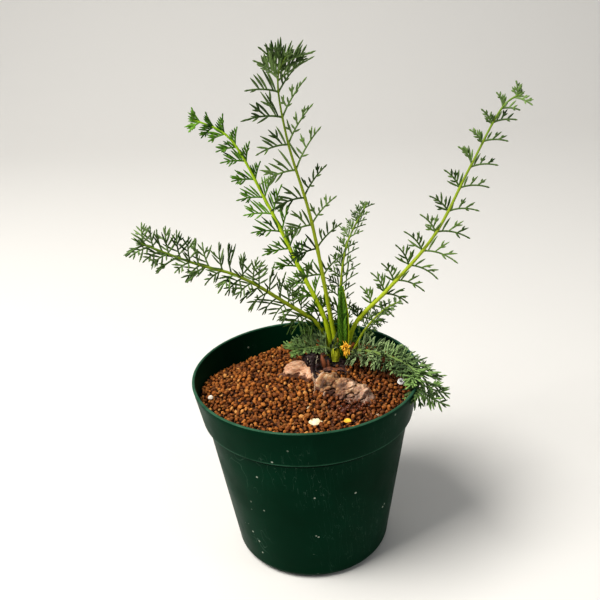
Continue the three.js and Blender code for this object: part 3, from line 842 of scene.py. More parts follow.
class LeafMaker:
    """Grows one leaf: a rib, pairs of leaflets, and each leaflet's narrow lobes."""

    def __init__(self, seed, width, thickness, wander=0.22, twist=15):
        self.rng = np.random.default_rng(seed)
        self.mesh = Mesh()
        self.width = width
        self.thickness = thickness
        self.wander = wander
        self.twist = math.radians(twist)

    def lobe(self, root, direction, bend, length, normal, tint, fork=False):
        """A linear, blunt-pointed lobe, slightly curved towards bend."""
        share = np.linspace(0, 1, 7)[:, None]
        curve = root + direction * length * share + bend * length * 0.14 * share**2
        half = self.width / 2 * (0.8 + 0.2 * min(length / 5.0, 1.2))
        widths = half * np.array([0.55, 0.7, 0.9, 1.0, 0.95, 0.7, 0.28])
        side = np.cross(direction, normal)
        self.mesh.tube(curve, widths, widths * self.thickness, side, tint, tint, sides=6, tip=1.4)
        if fork and length > 2.2:
            for turn in (-1, 1):
                if self.rng.random() < 0.55:
                    branch = unit(direction + turn * self.rng.uniform(0.45, 0.7) * unit(side))
                    start = root + direction * length * self.rng.uniform(0.35, 0.55)
                    self.lobe(start, branch, bend, length * self.rng.uniform(0.3, 0.48),
                              normal, tint)

    def leaflet(self, root, forward, out, normal, length, style, spread, rise, droop, tint,
                pull=(0, 0, 0)):
        """A slender stalk with lobes on both sides; the front side's are longer."""
        pull = np.array(pull, float)
        rng = self.rng
        steps = 11
        share = np.linspace(0, 1, steps)
        angles = np.radians(spread[0] + (spread[1] - spread[0]) * share**0.8)
        heads = np.cos(angles)[:, None] * forward + np.sin(angles)[:, None] * out
        heads = heads + rise * normal
        heads = heads - np.outer(droop * share, (0, 0, 1.0)) + pull * 0.5
        heads /= np.linalg.norm(heads, axis=1)[:, None]
        path = root + np.vstack([np.zeros(3), np.cumsum(heads[:-1], axis=0)]) * length / (steps - 1)
        widths = np.linspace(self.width * 0.48, self.width * 0.36, steps)
        side = np.cross(heads[0], normal)
        self.mesh.tube(path, widths, widths * 0.7, side, tint, tint, sides=6, tip=1.0)
        roll = rng.normal(0, self.twist)
        for lobes, sign in ((style["front"], 1), (style["rear"], -1)):
            for place, size, angle, forks in lobes:
                if sign < 0 and rng.random() > REAR_SHARE:
                    continue
                place = float(np.clip(place + rng.normal(0, 0.02), 0, 0.95))
                k = place * (steps - 1)
                low = min(int(k), steps - 2)
                start = path[low] + (path[low + 1] - path[low]) * (k - low)
                head = heads[low]
                ahead = unit(forward - np.dot(forward, head) * head)
                ahead = math.cos(roll) * ahead + math.sin(roll) * np.cross(head, ahead)
                angle = math.radians(angle + rng.normal(0, 6))
                aim = math.cos(angle) * head + sign * math.sin(angle) * ahead
                aim = unit(aim + normal * rng.normal(0.08, self.wander) + pull)
                grown = length * size * rng.uniform(0.82, 1.18)
                tone = float(np.clip(tint[1] + rng.normal(0, 0.2), 0, 1))
                self.lobe(start, aim, head, grown, normal, (tint[0], tone, tint[2]), forks)
        end = length * rng.uniform(0.12, 0.2)
        self.lobe(path[-1] - heads[-1] * 0.3, heads[-1], heads[-1], end, normal, tint)

    def rib(self, path, radii, tints):
        self.mesh.tube(path, radii, radii * 0.9, (0.2, 1, 0.1), *tints, sides=12, tip=0.4)


def foot_of(foot):
    """Where a leaf starts, inside the crown's cushion."""
    x, y = foot[0] * PETIOLE_PITCH, foot[1] * PETIOLE_PITCH
    share = min(math.hypot(x, y) / CROWN_RADIUS, 1)
    return [x, y, -1.5 - 1.5 * share]


def grow_leaf(name, node, foot, points, first, pitches, longest, face, left, right, material,
              thick=1.3, tip=0.42, width=0.85, seed=1, slot="fresh_leaf",
              sizes=(0.75, 1.0, 0.45), left_size=1.0, wander=0.2, pull=(0, 0, 0), flat=0.6,
              twist=15, turn_at=0.7, tip_at=1.0, tuft=None):
    """left and right say how the leaflets of a side grow: style, spread, rise and droop.

    pitches are the gaps between pairs near the foot, at turn_at of the way up and from tip_at
    on; a tuft says how the leaflets past tip_at grow instead, on both sides.
    """
    maker = LeafMaker(seed, width, flat, wander=wander, twist=twist)
    rng = maker.rng
    steps = RIB_STEPS
    path, length = spline(np.array([foot_of(foot), *points]) + CROWN, steps)
    spots = []
    spot = first
    while spot < length - 1.5:
        spots.append(spot)
        at = [first / length, turn_at, tip_at, 1.001]
        spot += float(np.interp(spot / length, at, (*pitches, pitches[2])))
    shares = np.linspace(0, 1, steps)
    radii = thick + (tip - thick) * shares**0.85
    for spot in spots:
        radii = radii * (1 + 0.13 * np.exp(-0.5 * ((shares - spot / length) * length / 1.1) ** 2))
    radii = radii * (1 + 0.25 * np.exp(-shares * length / 5.0))
    maker.rib(path, radii, ((0.0, 0.5, 0.0), (0.0, 0.5, 1.0)))
    last = max(len(spots) - 1, 1)
    for i, spot in enumerate(spots):
        share = spot / length
        k = min(share * (steps - 1), steps - 2)
        low = int(k)
        forward = unit(path[min(low + 4, steps - 1)] - path[max(low - 3, 0)])
        normal = unit(np.array(face) - np.dot(face, forward) * forward)
        across = np.cross(forward, normal)
        size = longest * float(np.interp(i / last, [0, 0.4, 1], sizes))
        for side, grow in ((-1, left), (1, right)):
            style, spread, rise, droop = tuft if tuft and share > tip_at - 0.01 else grow
            shift = rng.normal(0, 0.6)
            spot_k = min(max(k + shift * steps / length, 0), steps - 2)
            low = int(spot_k)
            root = path[low] + (path[low + 1] - path[low]) * (spot_k - low)
            wide = rng.normal(0, 4)
            late = 1 - 0.2 * share
            spread = ((spread[0] + wide) * late, (spread[1] + wide) * late)
            tint = (1.0, float(np.clip(rng.normal(0.45, 0.22), 0, 1)), share)
            grown = size * rng.normal(1, 0.07) * (left_size if side < 0 else 1)
            maker.leaflet(root, forward, side * across, normal, grown, style, spread,
                          rise + rng.normal(0, 0.08), droop * (1 - share), tint,
                          np.array(pull) * share**4)
    tint = (1.0, 0.6, 1.0)
    forward = unit(path[-1] - path[-4])
    normal = unit(np.array(face) - np.dot(face, forward) * forward)
    for angle in (-38, -12, 12, 38):
        turn = math.radians(angle)
        aim = math.cos(turn) * forward + math.sin(turn) * np.cross(forward, normal)
        maker.lobe(path[-2], aim, forward, longest * 0.2, normal, tint)
    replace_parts(maker.mesh.build(name, material, slot), node)


def at_rim(outside, round_by, over):
    """A place near the rim, from the crown: outside the rim, degrees round it, height over it."""
    radius = POT_TOP_RADIUS + outside
    turn = math.radians(DROOP_AZIMUTH + round_by)
    x, y = radius * math.cos(turn), radius * math.sin(turn)
    return (np.array([x, y, POT_HEIGHT + over]) - CROWN).tolist()


def make_leaves():
    grow_leaf("leaf_tall", "tall_leaf", (0, 0),
              [(-5, 1, 35), (-11, 0, 74), (-19, -5, 108), (-22, -13, 133), (-21, -17.5, 141.5),
               (-17.6, -22.5, 147.5)],
              44, (14.0, 12.6, 3.0), 16.5, (0.35, -0.93, 0.1),
              (DENSE_FAN, (78, 108), 0.1, 0.3), (OPEN_COMB, (48, 78), 0.0, 0.0),
              FRESH, thick=1.45, tip=0.3, seed=3, sizes=(0.85, 1.0, 0.68), width=1.0,
              pull=(0, 0, 0.7), turn_at=0.82, twist=14, tip_at=0.9,
              tuft=(DENSE_FAN, (62, 84), 0.2, 0.0))
    grow_leaf("leaf_upper_left", "upper_left_leaf", (-0.98, 0.45),
              [(-6, 1, 20), (-17, 4, 46), (-31, 8, 79), (-47, 11, 110), (-62, 12, 118)],
              27, (8.4, 9.4, 4.8), 12.6, (0.15, -0.95, 0.2),
              (DENSE_FAN, (62, 86), 0.05, 0.1), (BRUSH, (36, 56), 0.1, 0.0),
              BRIGHT, thick=1.5, seed=5, sizes=(0.75, 1.0, 0.48), width=0.88, twist=16)
    grow_leaf("leaf_lower_left", "lower_left_leaf", (-1.3, 1.75),
              [(-9, 2, 16), (-24, -5, 32), (-45, -12, 50), (-64, -16, 59), (-86, -22, 72)],
              11, (5.3, 5.3, 3.6), 11.6, (0.0, -0.75, 0.65),
              (SPIKY, (46, 78), 0.1, 0.35), (SPIKY, (58, 86), 0.15, 0.0),
              FRESH, seed=7, width=0.88, sizes=(0.95, 1.0, 0.8), wander=0.5, twist=70)
    grow_leaf("leaf_right", "right_leaf", (1.35, 0.5),
              [(9, 0, 17), (25, 1, 34), (47, 2, 60), (63, 3, 92), (77, 3, 119), (83, 3, 123)],
              24, (8.0, 12.6, 5.0), 14.4, (0.0, -0.9, 0.3),
              (FORKED_FAN, (52, 98), 0.1, 0.0), (SLENDER, (50, 88), 0.05, 0.3),
              FRESH, thick=1.35, seed=9, sizes=(0.7, 1.0, 0.5), width=0.95,
              left_size=0.85, twist=24)
    grow_leaf("leaf_back", "back_leaf", (0.4, 1.8),
              [(2, 9, 26), (7, 20, 51), (18, 31, 68)],
              12, (4.6, 5.0, 3.0), 9.5, (0.1, -0.7, 0.7),
              (FORKED_FAN, (50, 78), 0.1, 0.1), (SLENDER, (40, 62), 0.1, 0.0),
              FRESH, thick=0.8, seed=11, width=0.75, wander=0.3, sizes=(1.0, 0.95, 0.5))
    grow_leaf("leaf_right_back", "right_back_leaf", (2.4, 1.7),
              [(14, 8, 9), (25, 15, 17), (33, 19, 19)],
              5, (3.2, 3.2, 2.6), 8.0, (-0.2, -0.5, 1),
              (PAIRED, (60, 80), 0.2, 0.1), (PAIRED, (60, 80), 0.2, 0.1),
              FRESH, thick=0.8, seed=13, width=0.72, slot="old_leaf", wander=0.4, twist=40)
    hang = [(9.5, -5, 4.5), (18, -13, 7), at_rim(-7.5, 3, 4.6), at_rim(-2.4, -4, 3.8),
            at_rim(1.6, -9, 0.4), at_rim(2.8, -11, -4.5)]
    grow_leaf("leaf_drooping", "right_drooping_leaf", (2.7, 0.2), hang,
              9.0, (2.5, 2.8, 2.2), 10.8, (0.2, -0.5, 0.85),
              (BUSHY, (54, 80), 0.1, 0.15), (BUSHY, (54, 82), 0.1, 0.4),
              OLD, thick=1.0, seed=16, width=1.0, slot="old_leaf",
              sizes=(0.95, 0.8, 1.1), wander=0.45, twist=70)
    grow_leaf("leaf_left_low", "left_low_leaf", (-0.95, -0.8),
              [(-4.5, -3, 5), (-9, -4.5, 7.4), (-14, -5.5, 7.8), (-19, -6, 6.6), (-22, -6, 5)],
              5.5, (1.5, 1.6, 1.6), 10.0, (0, -0.5, 0.9),
              (BUSHY, (60, 84), 0.25, 0.1), (BUSHY, (60, 80), 0.3, 0.0),
              OLD, thick=0.9, seed=17, width=0.98, slot="old_leaf",
              sizes=(0.8, 1.0, 0.75), wander=0.42, twist=50, left_size=0.42)


# ---- tuber and crown


def from_crown(*points):
    return CROWN + np.array(points)


def strand(mesh, rng, start, head, bend, length, over, radii, tip):
    """A thin, bent fibre that stays over the granules; radii is the range of its radius."""
    share = np.linspace(0, 1, 8)[:, None]
    path = start + head * length * share + bend * share**2
    path[:, 2] = np.maximum(path[:, 2], level(path[:, 0], path[:, 1]) + over)
    thin = rng.uniform(*radii)
    mesh.tube(path, thin * np.linspace(1.2, tip, 8), thin * np.linspace(1, 0.4, 8),
              (0.3, 0.2, 1), (0, rng.random(), 0), sides=6)


def blob(mesh, centre, half, turn=0.0, lean=0.0, tint=(0, 0.5, 0)):
    points, faces = ball(3)
    spin = Matrix.Rotation(turn, 3, "Z") @ Matrix.Rotation(lean, 3, "Y")
    points = (points * half) @ np.array(spin).T + centre
    mesh.add(points, faces, tint)


def fuse(piece, voxel, smooth):
    """One skin round the joined lumps."""
    change = piece.modifiers.new("fuse", "REMESH")
    change.mode = "VOXEL"
    change.voxel_size = voxel * MM
    change.use_smooth_shade = True
    soften = piece.modifiers.new("soften", "SMOOTH")
    soften.factor = 0.5
    soften.iterations = smooth
    apply_modifiers(piece)


def roughen(piece, shift):
    """Move every point of a fused skin along its normal by shift(point); returns the points."""
    mesh = piece.data
    count = len(mesh.vertices)
    points = np.zeros(count * 3, np.float32)
    mesh.vertices.foreach_get("co", points)
    normals = np.zeros(count * 3, np.float32)
    mesh.vertex_normals.foreach_get("vector", normals)
    points = points.reshape(-1, 3) / MM
    normals = normals.reshape(-1, 3)
    moved = np.array([shift(p) for p in points])
    points = points + normals * moved[:, None]
    mesh.vertices.foreach_set("co", (points * MM).astype(np.float32).ravel())
    mesh.update()
    return points


def set_tint(piece, tints):
    """Give a fused skin its tint again, three parts for every point."""
    mesh = piece.data
    old = mesh.attributes.get("tint")
    if old:
        mesh.attributes.remove(old)
    tint = mesh.attributes.new("tint", "FLOAT_VECTOR", "POINT")
    tint.data.foreach_set("vector", np.asarray(tints, np.float32).ravel())


def make_tuber():
    rng = np.random.default_rng(19)
    mesh = Mesh()
    lobes = list(lobe_centres())
    for centre, half, turn in lobes:
        blob(mesh, centre + (0, 0, 0.6), half, turn)
        for _ in range(5):
            spin, tall = rng.uniform(0, 2 * math.pi), rng.uniform(0.2, 0.75)
            flat = math.sqrt(1 - tall * tall)
            spot = centre + half * (flat * math.cos(spin), flat * math.sin(spin), tall) * 0.9
            blob(mesh, spot, rng.uniform(0.9, 2.1, 3))
    blob(mesh, lobes[0][0] + (4.8, -2.2, -0.4), (4.6, 5.0, 6.4), math.radians(-35))
    blob(mesh, lobes[0][0] + (6.6, -5.6, -0.8), (3.0, 3.8, 6.0), math.radians(-10))
    blob(mesh, lobes[0][0] + (-6.6, -1.2, -1.6), (4.0, 2.6, 4.2), math.radians(25))
    for (a, half_a, _), (b, half_b, _) in zip(lobes[1:], lobes[2:]):
        blob(mesh, (a + b) / 2 - (0, 0, 0.3), (half_a + half_b) / 2 * (0.66, 0.66, 0.8))
    tuber = mesh.build("tuber_skin", TUBER, "tuber_skin")
    fuse(tuber, 0.42, 3)
    arm = unit((16.0, -18.0, 0.0))
    left_end, right_start = CROWN_X - 14.5, CROWN_X - 11.0

    def shift(p):
        along = float(np.dot(p, arm))
        pink = np.clip((right_start - p[0]) / (right_start - left_end), 0, 1)
        rings = noise.noise(Vector((along * 0.5, p[2] * 0.12, 3.0 + p[0] * 0.08)))
        crease = abs(noise.noise(Vector((along * 0.3, p[1] * 0.2, p[2] * 0.28))))
        lumps = noise.noise(Vector(p) * 0.22)
        fine = noise.noise(Vector(p) * 0.9)
        tiny = noise.noise(Vector(p) * 2.2)
        streak = noise.noise(Vector((p[0] * 0.12, p[1] * 0.9, p[2] * 0.9)))
        gully = -1.7 * math.exp(-((crease / 0.06) ** 2))
        rough = 1.3 * rings + 1.3 * lumps + 0.7 * fine + 0.25 * tiny + gully
        return (1 - pink) * rough + pink * (0.55 * streak + 0.5 * lumps)

    before = np.zeros(len(tuber.data.vertices) * 3, np.float32)
    tuber.data.vertices.foreach_get("co", before)
    points = roughen(tuber, shift)
    moved = points - before.reshape(-1, 3) / MM
    normals = np.zeros(len(points) * 3, np.float32)
    tuber.data.vertex_normals.foreach_get("vector", normals)
    relief = np.einsum("ij,ij->i", moved, normals.reshape(-1, 3))
    pink = np.clip((right_start - points[:, 0]) / (right_start - left_end), 0, 1)
    # the relief, from which the material paints shade in the hollows and a highlight on the crests
    crest = np.clip(0.5 + 0.28 * relief * (1 - 0.6 * pink), 0, 1)
    high = (points[:, 2] - level(points[:, 0], points[:, 1])) / 8.0
    set_tint(tuber, np.column_stack([pink, crest, high]))
    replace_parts(tuber, "tuber")


TUFT_STRANDS = 105
CUSHION_STRANDS = 45
PALE_STRANDS = 9


def make_crown():
    rng = np.random.default_rng(23)
    mesh = Mesh()
    cushion = np.array([CROWN_X, CROWN_Y, CROWN_TOP - 4.5])
    saddle = CROWN + (-6.0, -9.0, -6.5)
    tuft = CROWN + (-13.2, -7.6, 0.4)
    blob(mesh, cushion, (8.0, 8.0, 4.3))
    blob(mesh, saddle, (7.0, 5.5, 5.2), math.radians(30))
    blob(mesh, tuft, (5.2, 4.2, 5.6), 0, math.radians(14))
    blob(mesh, (saddle + tuft) / 2 + (0, 0, 0.8), (5.0, 4.2, 4.8))
    blob(mesh, CROWN + (-11.5, -13.2, -3.4), (3.6, 4.6, 4.6), math.radians(-20))
    blob(mesh, CROWN + (-7.2, -9.6, -1.2), (3.6, 3.4, 4.2))
    for _ in range(16):
        turn, far = rng.uniform(0, 2 * math.pi), rng.uniform(1, 4.5)
        spot = tuft + (far * math.cos(turn), far * math.sin(turn) - 2.0, 4.4 - 0.7 * far)
        blob(mesh, spot, rng.uniform(0.7, 1.5, 3))
    for _ in range(26):
        turn, far = rng.uniform(0, 2 * math.pi), rng.uniform(2, 8)
        spot = cushion + (far * math.cos(turn), far * math.sin(turn), 3.4 - 0.28 * far)
        blob(mesh, spot, rng.uniform(0.9, 1.7, 3))
    crown = mesh.build("crown_body", FIBRE, "crown_fibre")
    fuse(crown, 0.5, 2)

    def shift(p):
        fine = noise.noise(Vector(p) * 0.8)
        return 0.7 * fine + 0.8 * noise.noise(Vector(p) * 0.33) + 0.2 * noise.noise(Vector(p) * 2.4)

    points = roughen(crown, shift)
    set_tint(crown, np.full((len(points), 3), 0.5))
    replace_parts(crown, "crown")

    strands = Mesh()
    for k in range(TUFT_STRANDS + CUSHION_STRANDS):
        if k < TUFT_STRANDS:
            turn, tall = rng.uniform(0, 2 * math.pi), rng.uniform(0.1, 1.0)
            start = tuft + np.array([4.2 * math.cos(turn), 3.6 * math.sin(turn), 8 * tall - 2.5])
            start = tuft + (start - tuft) * 0.85
            head = unit([math.cos(turn) * 0.8, math.sin(turn) * 0.8, 0.6 + tall])
        else:
            turn = rng.uniform(0, 2 * math.pi)
            start = cushion + np.array([7 * math.cos(turn), 7 * math.sin(turn), 1.8])
            head = unit([math.cos(turn), math.sin(turn), 0.9])
        curl = unit(rng.normal(0, 1, 3) * (1, 1, 0.3)) * rng.uniform(0.4, 1.4) - (0, 0, 0.9)
        length = rng.uniform(2.0, 5.2)
        strand(strands, rng, start, head, curl * length * 0.55, length, 0.5, (0.1, 0.26), 0.5)
    for shift_x, reach, thick in ((0.0, 1.0, 1.15), (1.9, 0.82, 0.7)):
        old = [(-13.2 + shift_x, -12.5, 1.5), (-13.4 + shift_x, -16.5, 1.0),
               (-12.0 + shift_x, -21.0 * reach, 0.4), (-9.8 + shift_x, -25.5 * reach, -1.2)]
        path, _ = spline(CROWN + np.array(old), 24)
        thin = thick * np.linspace(1.1, 0.45, 24) * (1 + rng.normal(0, 0.1, 24))
        strands.tube(path, thin, thin, (1, 0, 0), (0, 0.2, 0), sides=10)
    strands.build("crown_strands", FIBRE, "crown_fibre")
    pale = Mesh()
    for _ in range(PALE_STRANDS):
        start = tuft + np.array([rng.uniform(-3.5, 4), rng.uniform(-3.2, 0), rng.uniform(3.6, 5.4)])
        head = unit([rng.uniform(-1.1, 0.1), -0.9, rng.uniform(0.0, 0.6)])
        length = rng.uniform(2.4, 5.0)
        bend = np.array([-0.1, 0.1, -1.0]) * length
        strand(pale, rng, start, head, bend, length, 0.8, (0.1, 0.18), 0.4)
    pale.build("crown_pale_strands", PALE, "pale_tissue")


# ---- small pieces


def petal(mesh, path, wide, thick, side, cup, tint, rows=7, steps=14):
    """A thin cupped blade along path: a closed two-sided sheet with a rounded outline."""
    curve, _ = spline(path, steps)
    tangents = np.gradient(curve, axis=0)
    tangents /= np.linalg.norm(tangents, axis=1)[:, None]
    across_row = np.linspace(-1, 1, rows)
    points = []
    for face in (1, -1):
        for k in range(steps):
            across = unit(side - np.dot(side, tangents[k]) * tangents[k])
            up = np.cross(tangents[k], across)
            s = k / (steps - 1)
            half = wide * (0.3 + 0.7 * math.sin(math.pi * min(s * 0.9 + 0.12, 1.0)))
            for a in across_row:
                lift = cup * half * a * a + face * thick * (1 - 0.85 * a * a) * (1 - 0.6 * s)
                points.append(curve[k] + across * half * a + up * lift)
    count = steps * rows
    faces = []
    for k in range(steps - 1):
        for i in range(rows - 1):
            a = k * rows + i
            faces.append((a, a + 1, a + rows + 1, a + rows))
            faces.append((count + a + rows, count + a + rows + 1, count + a + 1, count + a))
    ring = [k * rows for k in range(steps)] + [(steps - 1) * rows + i for i in range(1, rows)]
    ring += [k * rows + rows - 1 for k in range(steps - 2, -1, -1)]
    ring += list(range(rows - 2, 0, -1))
    for a, b in zip(ring, ring[1:] + ring[:1]):
        faces.append((b, a, count + a, count + b))
    mesh.add(points, faces, tint)


def make_scales():
    """Dry, reddish-brown scales round the crown, and the stub of an old stalk."""
    rng = np.random.default_rng(31)
    front = Mesh()
    path = from_crown((-7.2, -12.4, -0.4), (-7.6, -12.6, 2.4), (-8.2, -12.2, 5.0), (-8.5, -11.2, 7.2))
    petal(front, path, 1.3, 0.75, (1, 0.2, 0), 0.3, (0, 0.5, 0))
    path = from_crown((-5.4, -11.6, -1.0), (-5.2, -12.0, 1.6), (-5.6, -11.4, 4.2))
    petal(front, path, 0.9, 0.5, (1, 0.5, 0), 0.5, (0, 0.2, 0))
    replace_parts(front.build("scale_front", SCALE, "dry_scale"), "front_crown_scale")
    low = Mesh()
    path = from_crown((-8.0, -15.2, 0.6), (-5.6, -15.8, 1.7), (-3.4, -16.4, 1.6), (-1.6, -17.2, 0.7))
    petal(low, path, 0.95, 0.55, (0, 0.5, 1), 0.4, (0, 0.3, 0))
    path = from_crown((-2.6, -15.4, 0.6), (0.2, -15.6, 1.3), (3.0, -16.2, 0.6))
    petal(low, path, 0.7, 0.4, (0, 0.5, 1), 0.5, (0, 0.7, 0))
    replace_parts(low.build("scale_low", SCALE, "dry_scale"), "lower_crown_scale")
    left = Mesh()
    for k in range(4):
        lean = np.array([rng.normal(0, 0.5), rng.normal(0, 0.5), 0])
        start = np.array([-15.2 + 1.3 * k, -13.8 + 0.4 * k, 1.6])
        path = np.array([start, start + (-0.5, -0.2, 2.6), start + (-0.2, 0.6, 5.0)])
        path[1:] += lean
        petal(left, CROWN + path, 0.5, 0.28, (1, 0.3, 0), 0.7, (0, rng.random(), 0))
    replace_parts(left.build("scale_left", FIBRE, "dry_scale"), "left_crown_scale")


def thin_root(name, points, radius, material, slot, node, twigs, seed):
    """A wavering root with short twigs, all of it over the granules."""
    rng = np.random.default_rng(seed)
    mesh = Mesh()
    steps = 40
    path, _ = spline(from_crown(*points), steps)
    wobble = rng.normal(0, 0.12, (steps, 3))
    wobble[0] = wobble[-1] = 0
    path = path + wobble
    radii = radius * np.linspace(1.15, 0.5, steps)
    mesh.tube(path, radii, radii, (0.4, 0.3, 1), (0, 0.5, 0), sides=8)
    for _ in range(twigs):
        at = int(rng.uniform(6, 34))
        head = unit(path[at + 1] - path[at] + rng.normal(0, 0.5, 3))
        share = np.linspace(0, 1, 6)[:, None]
        twig = path[at] + head * rng.uniform(1.5, 3.6) * share
        twig[:, 2] = np.maximum(twig[:, 2], level(twig[:, 0], twig[:, 1]) + 0.9)
        fine = radius * 0.42 * np.linspace(1, 0.4, 6)
        mesh.tube(twig, fine, fine, (0.4, 0.3, 1), (0, 0.5, 0), sides=6)
    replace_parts(mesh.build(name, material, slot), node)


def make_roots():
    thin_root("root_brown", [(0.2, -16.2, 0.6), (1, -19, 1.6), (1.4, -21.5, 3), (4.3, -25.6, 4.4)],
              0.42, FIBRE, "dry_scale", "brown_thin_root", 3, 41)
    thin_root("root_pale", [(-13.4, -20.3, 2.0), (-13.0, -24.6, 0.8), (-12.6, -29, -0.8),
                            (-13.4, -33.0, -1.5)], 0.3, ROOT, "pale_tissue", "pale_thin_root", 4, 43)


def make_folded_leaf():
    """A young leaf still folded: rows of lobes pressed together along a bright rib."""
    rng = np.random.default_rng(51)
    mesh = Mesh()
    steps = 60
    path, _ = spline(from_crown((2.5, -3.8, 0.4), (2.4, -4, 13), (2.4, -4, 26), (2.2, -4, 39)), steps)
    share = np.linspace(0, 1, steps)
    half = 2.8 * np.sin(np.pi * (0.16 + 0.76 * share)) ** 0.9
    edge = path + np.array([1.0, 0.0, 0]) * half[:, None]
    radii = np.linspace(0.62, 0.3, steps)
    mesh.tube(edge, radii, radii * 1.5, (1, 0, 0), (0, 0.6, 0), (0, 0.6, 0.35), sides=10)
    core = half * 0.9
    mesh.tube(path, core, np.maximum(core * 0.4, 0.3), (1, 0, 0), (1, 0.1, 0), (1, 0.3, 1),
              sides=10)
    rows = 46
    for k in range(rows):
        at = int(2 + 52 * k / rows)
        spot = at / steps
        for side in (-1, 1):
            for deep in (-1, 1):
                root = path[at] + np.array([0.25 * side, 0.55 * deep, 0])
                angle = math.radians(34 - 12 * spot + rng.normal(0, 3))
                head = unit([side * math.sin(angle), 0.22 * deep, math.cos(angle)])
                size = half[at] * rng.uniform(1.45, 1.75)
                along = np.linspace(0, 1, 6)[:, None]
                bend = np.array([-0.5 * side, 0, 0.6]) * size * 0.25
                curve = root + head * size * along + bend * along**2
                widths = 0.46 * np.array([0.7, 0.95, 1.0, 0.95, 0.75, 0.3])
                tone = 0.2 + 0.55 * (k % 2) + rng.normal(0, 0.1)
                tint = (1.0, float(np.clip(tone, 0, 1)), spot)
                mesh.tube(curve, widths, widths * 0.8, (1, 0, 0.2), tint, tint, sides=6, tip=1.0)
    maker = LeafMaker(52, 0.6, 0.6)
    maker.mesh = mesh
    for k in range(16):
        root = path[-1] + rng.normal(0, 0.5, 3) - (0, 0, rng.uniform(0, 4))
        aim = unit(rng.normal(0, 0.55, 3) + (-0.1, -0.2, 0.8))
        maker.lobe(root, aim, unit(rng.normal(0, 1, 3)) * 1.5, rng.uniform(1.6, 3.0),
                   unit((0.1, -1, 0.3)), (1.0, 0.85, 1.0), k % 2 == 0)
    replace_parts(mesh.build("leaf_folded", BRIGHT, "fresh_leaf"), "folded_young_leaf")


def make_sheath():
    """The sheathing base of the old stalks, and the pale edge of a stipule."""
    rng = np.random.default_rng(57)
    mesh = Mesh()
    base = CROWN + np.array([-1.6, -5.2, -0.2])
    for k in range(9):
        turn = math.radians(-165 + 150 * k / 8)
        out = np.array([math.cos(turn), math.sin(turn), 0])
        side = np.array([-math.sin(turn), math.cos(turn), 0])
        tall = rng.uniform(5.0, 8.0)
        foot = base + out * (1.5, 0.9, 0)
        path = [foot, foot + out * 0.2 + (0, 0, tall * 0.45), foot - out * 0.1 + (0, 0, tall)]
        petal(mesh, np.array(path), 0.78, 0.24, side, -0.3, (0.0, 0.5, 0.0))
    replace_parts(mesh.build("sheath", SHEATH, "fresh_leaf"), "petiole_sheath")
    pale = Mesh()
    path = from_crown((4.5, -1.2, 0.6), (5.2, -1.4, 4), (6.5, -1.5, 8.6))
    petal(pale, path, 0.75, 0.16, (1, 0.2, 0), 0.6, (0, 0.5, 0))
    path = from_crown((5.0, -1.8, 0.3), (5.8, -2.0, 2.4), (6.3, -2.2, 4.6))
    petal(pale, path, 0.5, 0.14, (1, 0.5, 0), 0.6, (0, 0.8, 0))
    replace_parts(pale.build("stipule", PALE, "pale_tissue"), "pale_stipule")


def make_withered():
    """A withered, orange-yellow leaf: a crumpled knot of short lobes, some hanging."""
    maker = LeafMaker(61, 0.62, 0.6)
    rng = maker.rng
    centre = CROWN + np.array([3.7, -6.0, 8.2])
    for k in range(34):
        aim = unit(rng.normal(0, 1, 3) * (1, 0.6, 0.9) + (0, -0.5, 0.25))
        root = centre + rng.normal(0, 0.55, 3)
        maker.lobe(root, aim, unit(rng.normal(0, 1, 3)) * 1.6, rng.uniform(1.5, 2.6),
                   unit((0.1, -1, 0.4)), (0, rng.random(), 0), k % 3 == 0)
    for k in range(9):
        root = centre + np.array([rng.uniform(-1.6, 1.8), -0.9, rng.uniform(-1.5, -0.2)])
        aim = unit([rng.normal(0.05, 0.25), -0.45, -1])
        maker.lobe(root, aim, unit(rng.normal(0, 1, 3)), rng.uniform(2.2, 3.8),
                   unit((0.1, -1, 0.4)), (0, rng.random(), 1.0), k % 2 == 0)
    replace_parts(maker.mesh.build("leaf_withered", WITHERED, "withered_tissue"), "withered_leaf")


def flake(name, node, x, y, half, turn, material, slot, seed):
    """A worn chip lying on the granules."""
    mesh = Mesh()
    blob(mesh, (0, 0, 0), half)
    points = mesh.points[0]
    shift = Vector((seed * 3.7, 1.3, 0.4))
    for p in points:
        bend = 1 + 0.28 * noise.noise(Vector(p) * 0.8 + shift)
        p *= (bend, bend, 1 + 0.3 * noise.noise(Vector(p) * 1.6 + shift))
        p[2] += 0.22 * noise.noise(Vector(p) * 0.7 + shift) * half[0]
    spin = np.array(Matrix.Rotation(math.radians(turn), 3, "Z") @ Matrix.Rotation(0.18, 3, "X"))
    low, high = box_mm(node)
    place = np.array([x, y, (low[2] + high[2]) / 2 + 0.15])
    mesh.points[0] = points @ spin.T + place
    reach = np.hypot(points[:, 0] / half[0], points[:, 1] / half[1])
    mesh.tints[0] = np.column_stack([np.exp(-((reach / 0.4) ** 2)), reach, reach])
    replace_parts(mesh.build(name, material, slot), node)


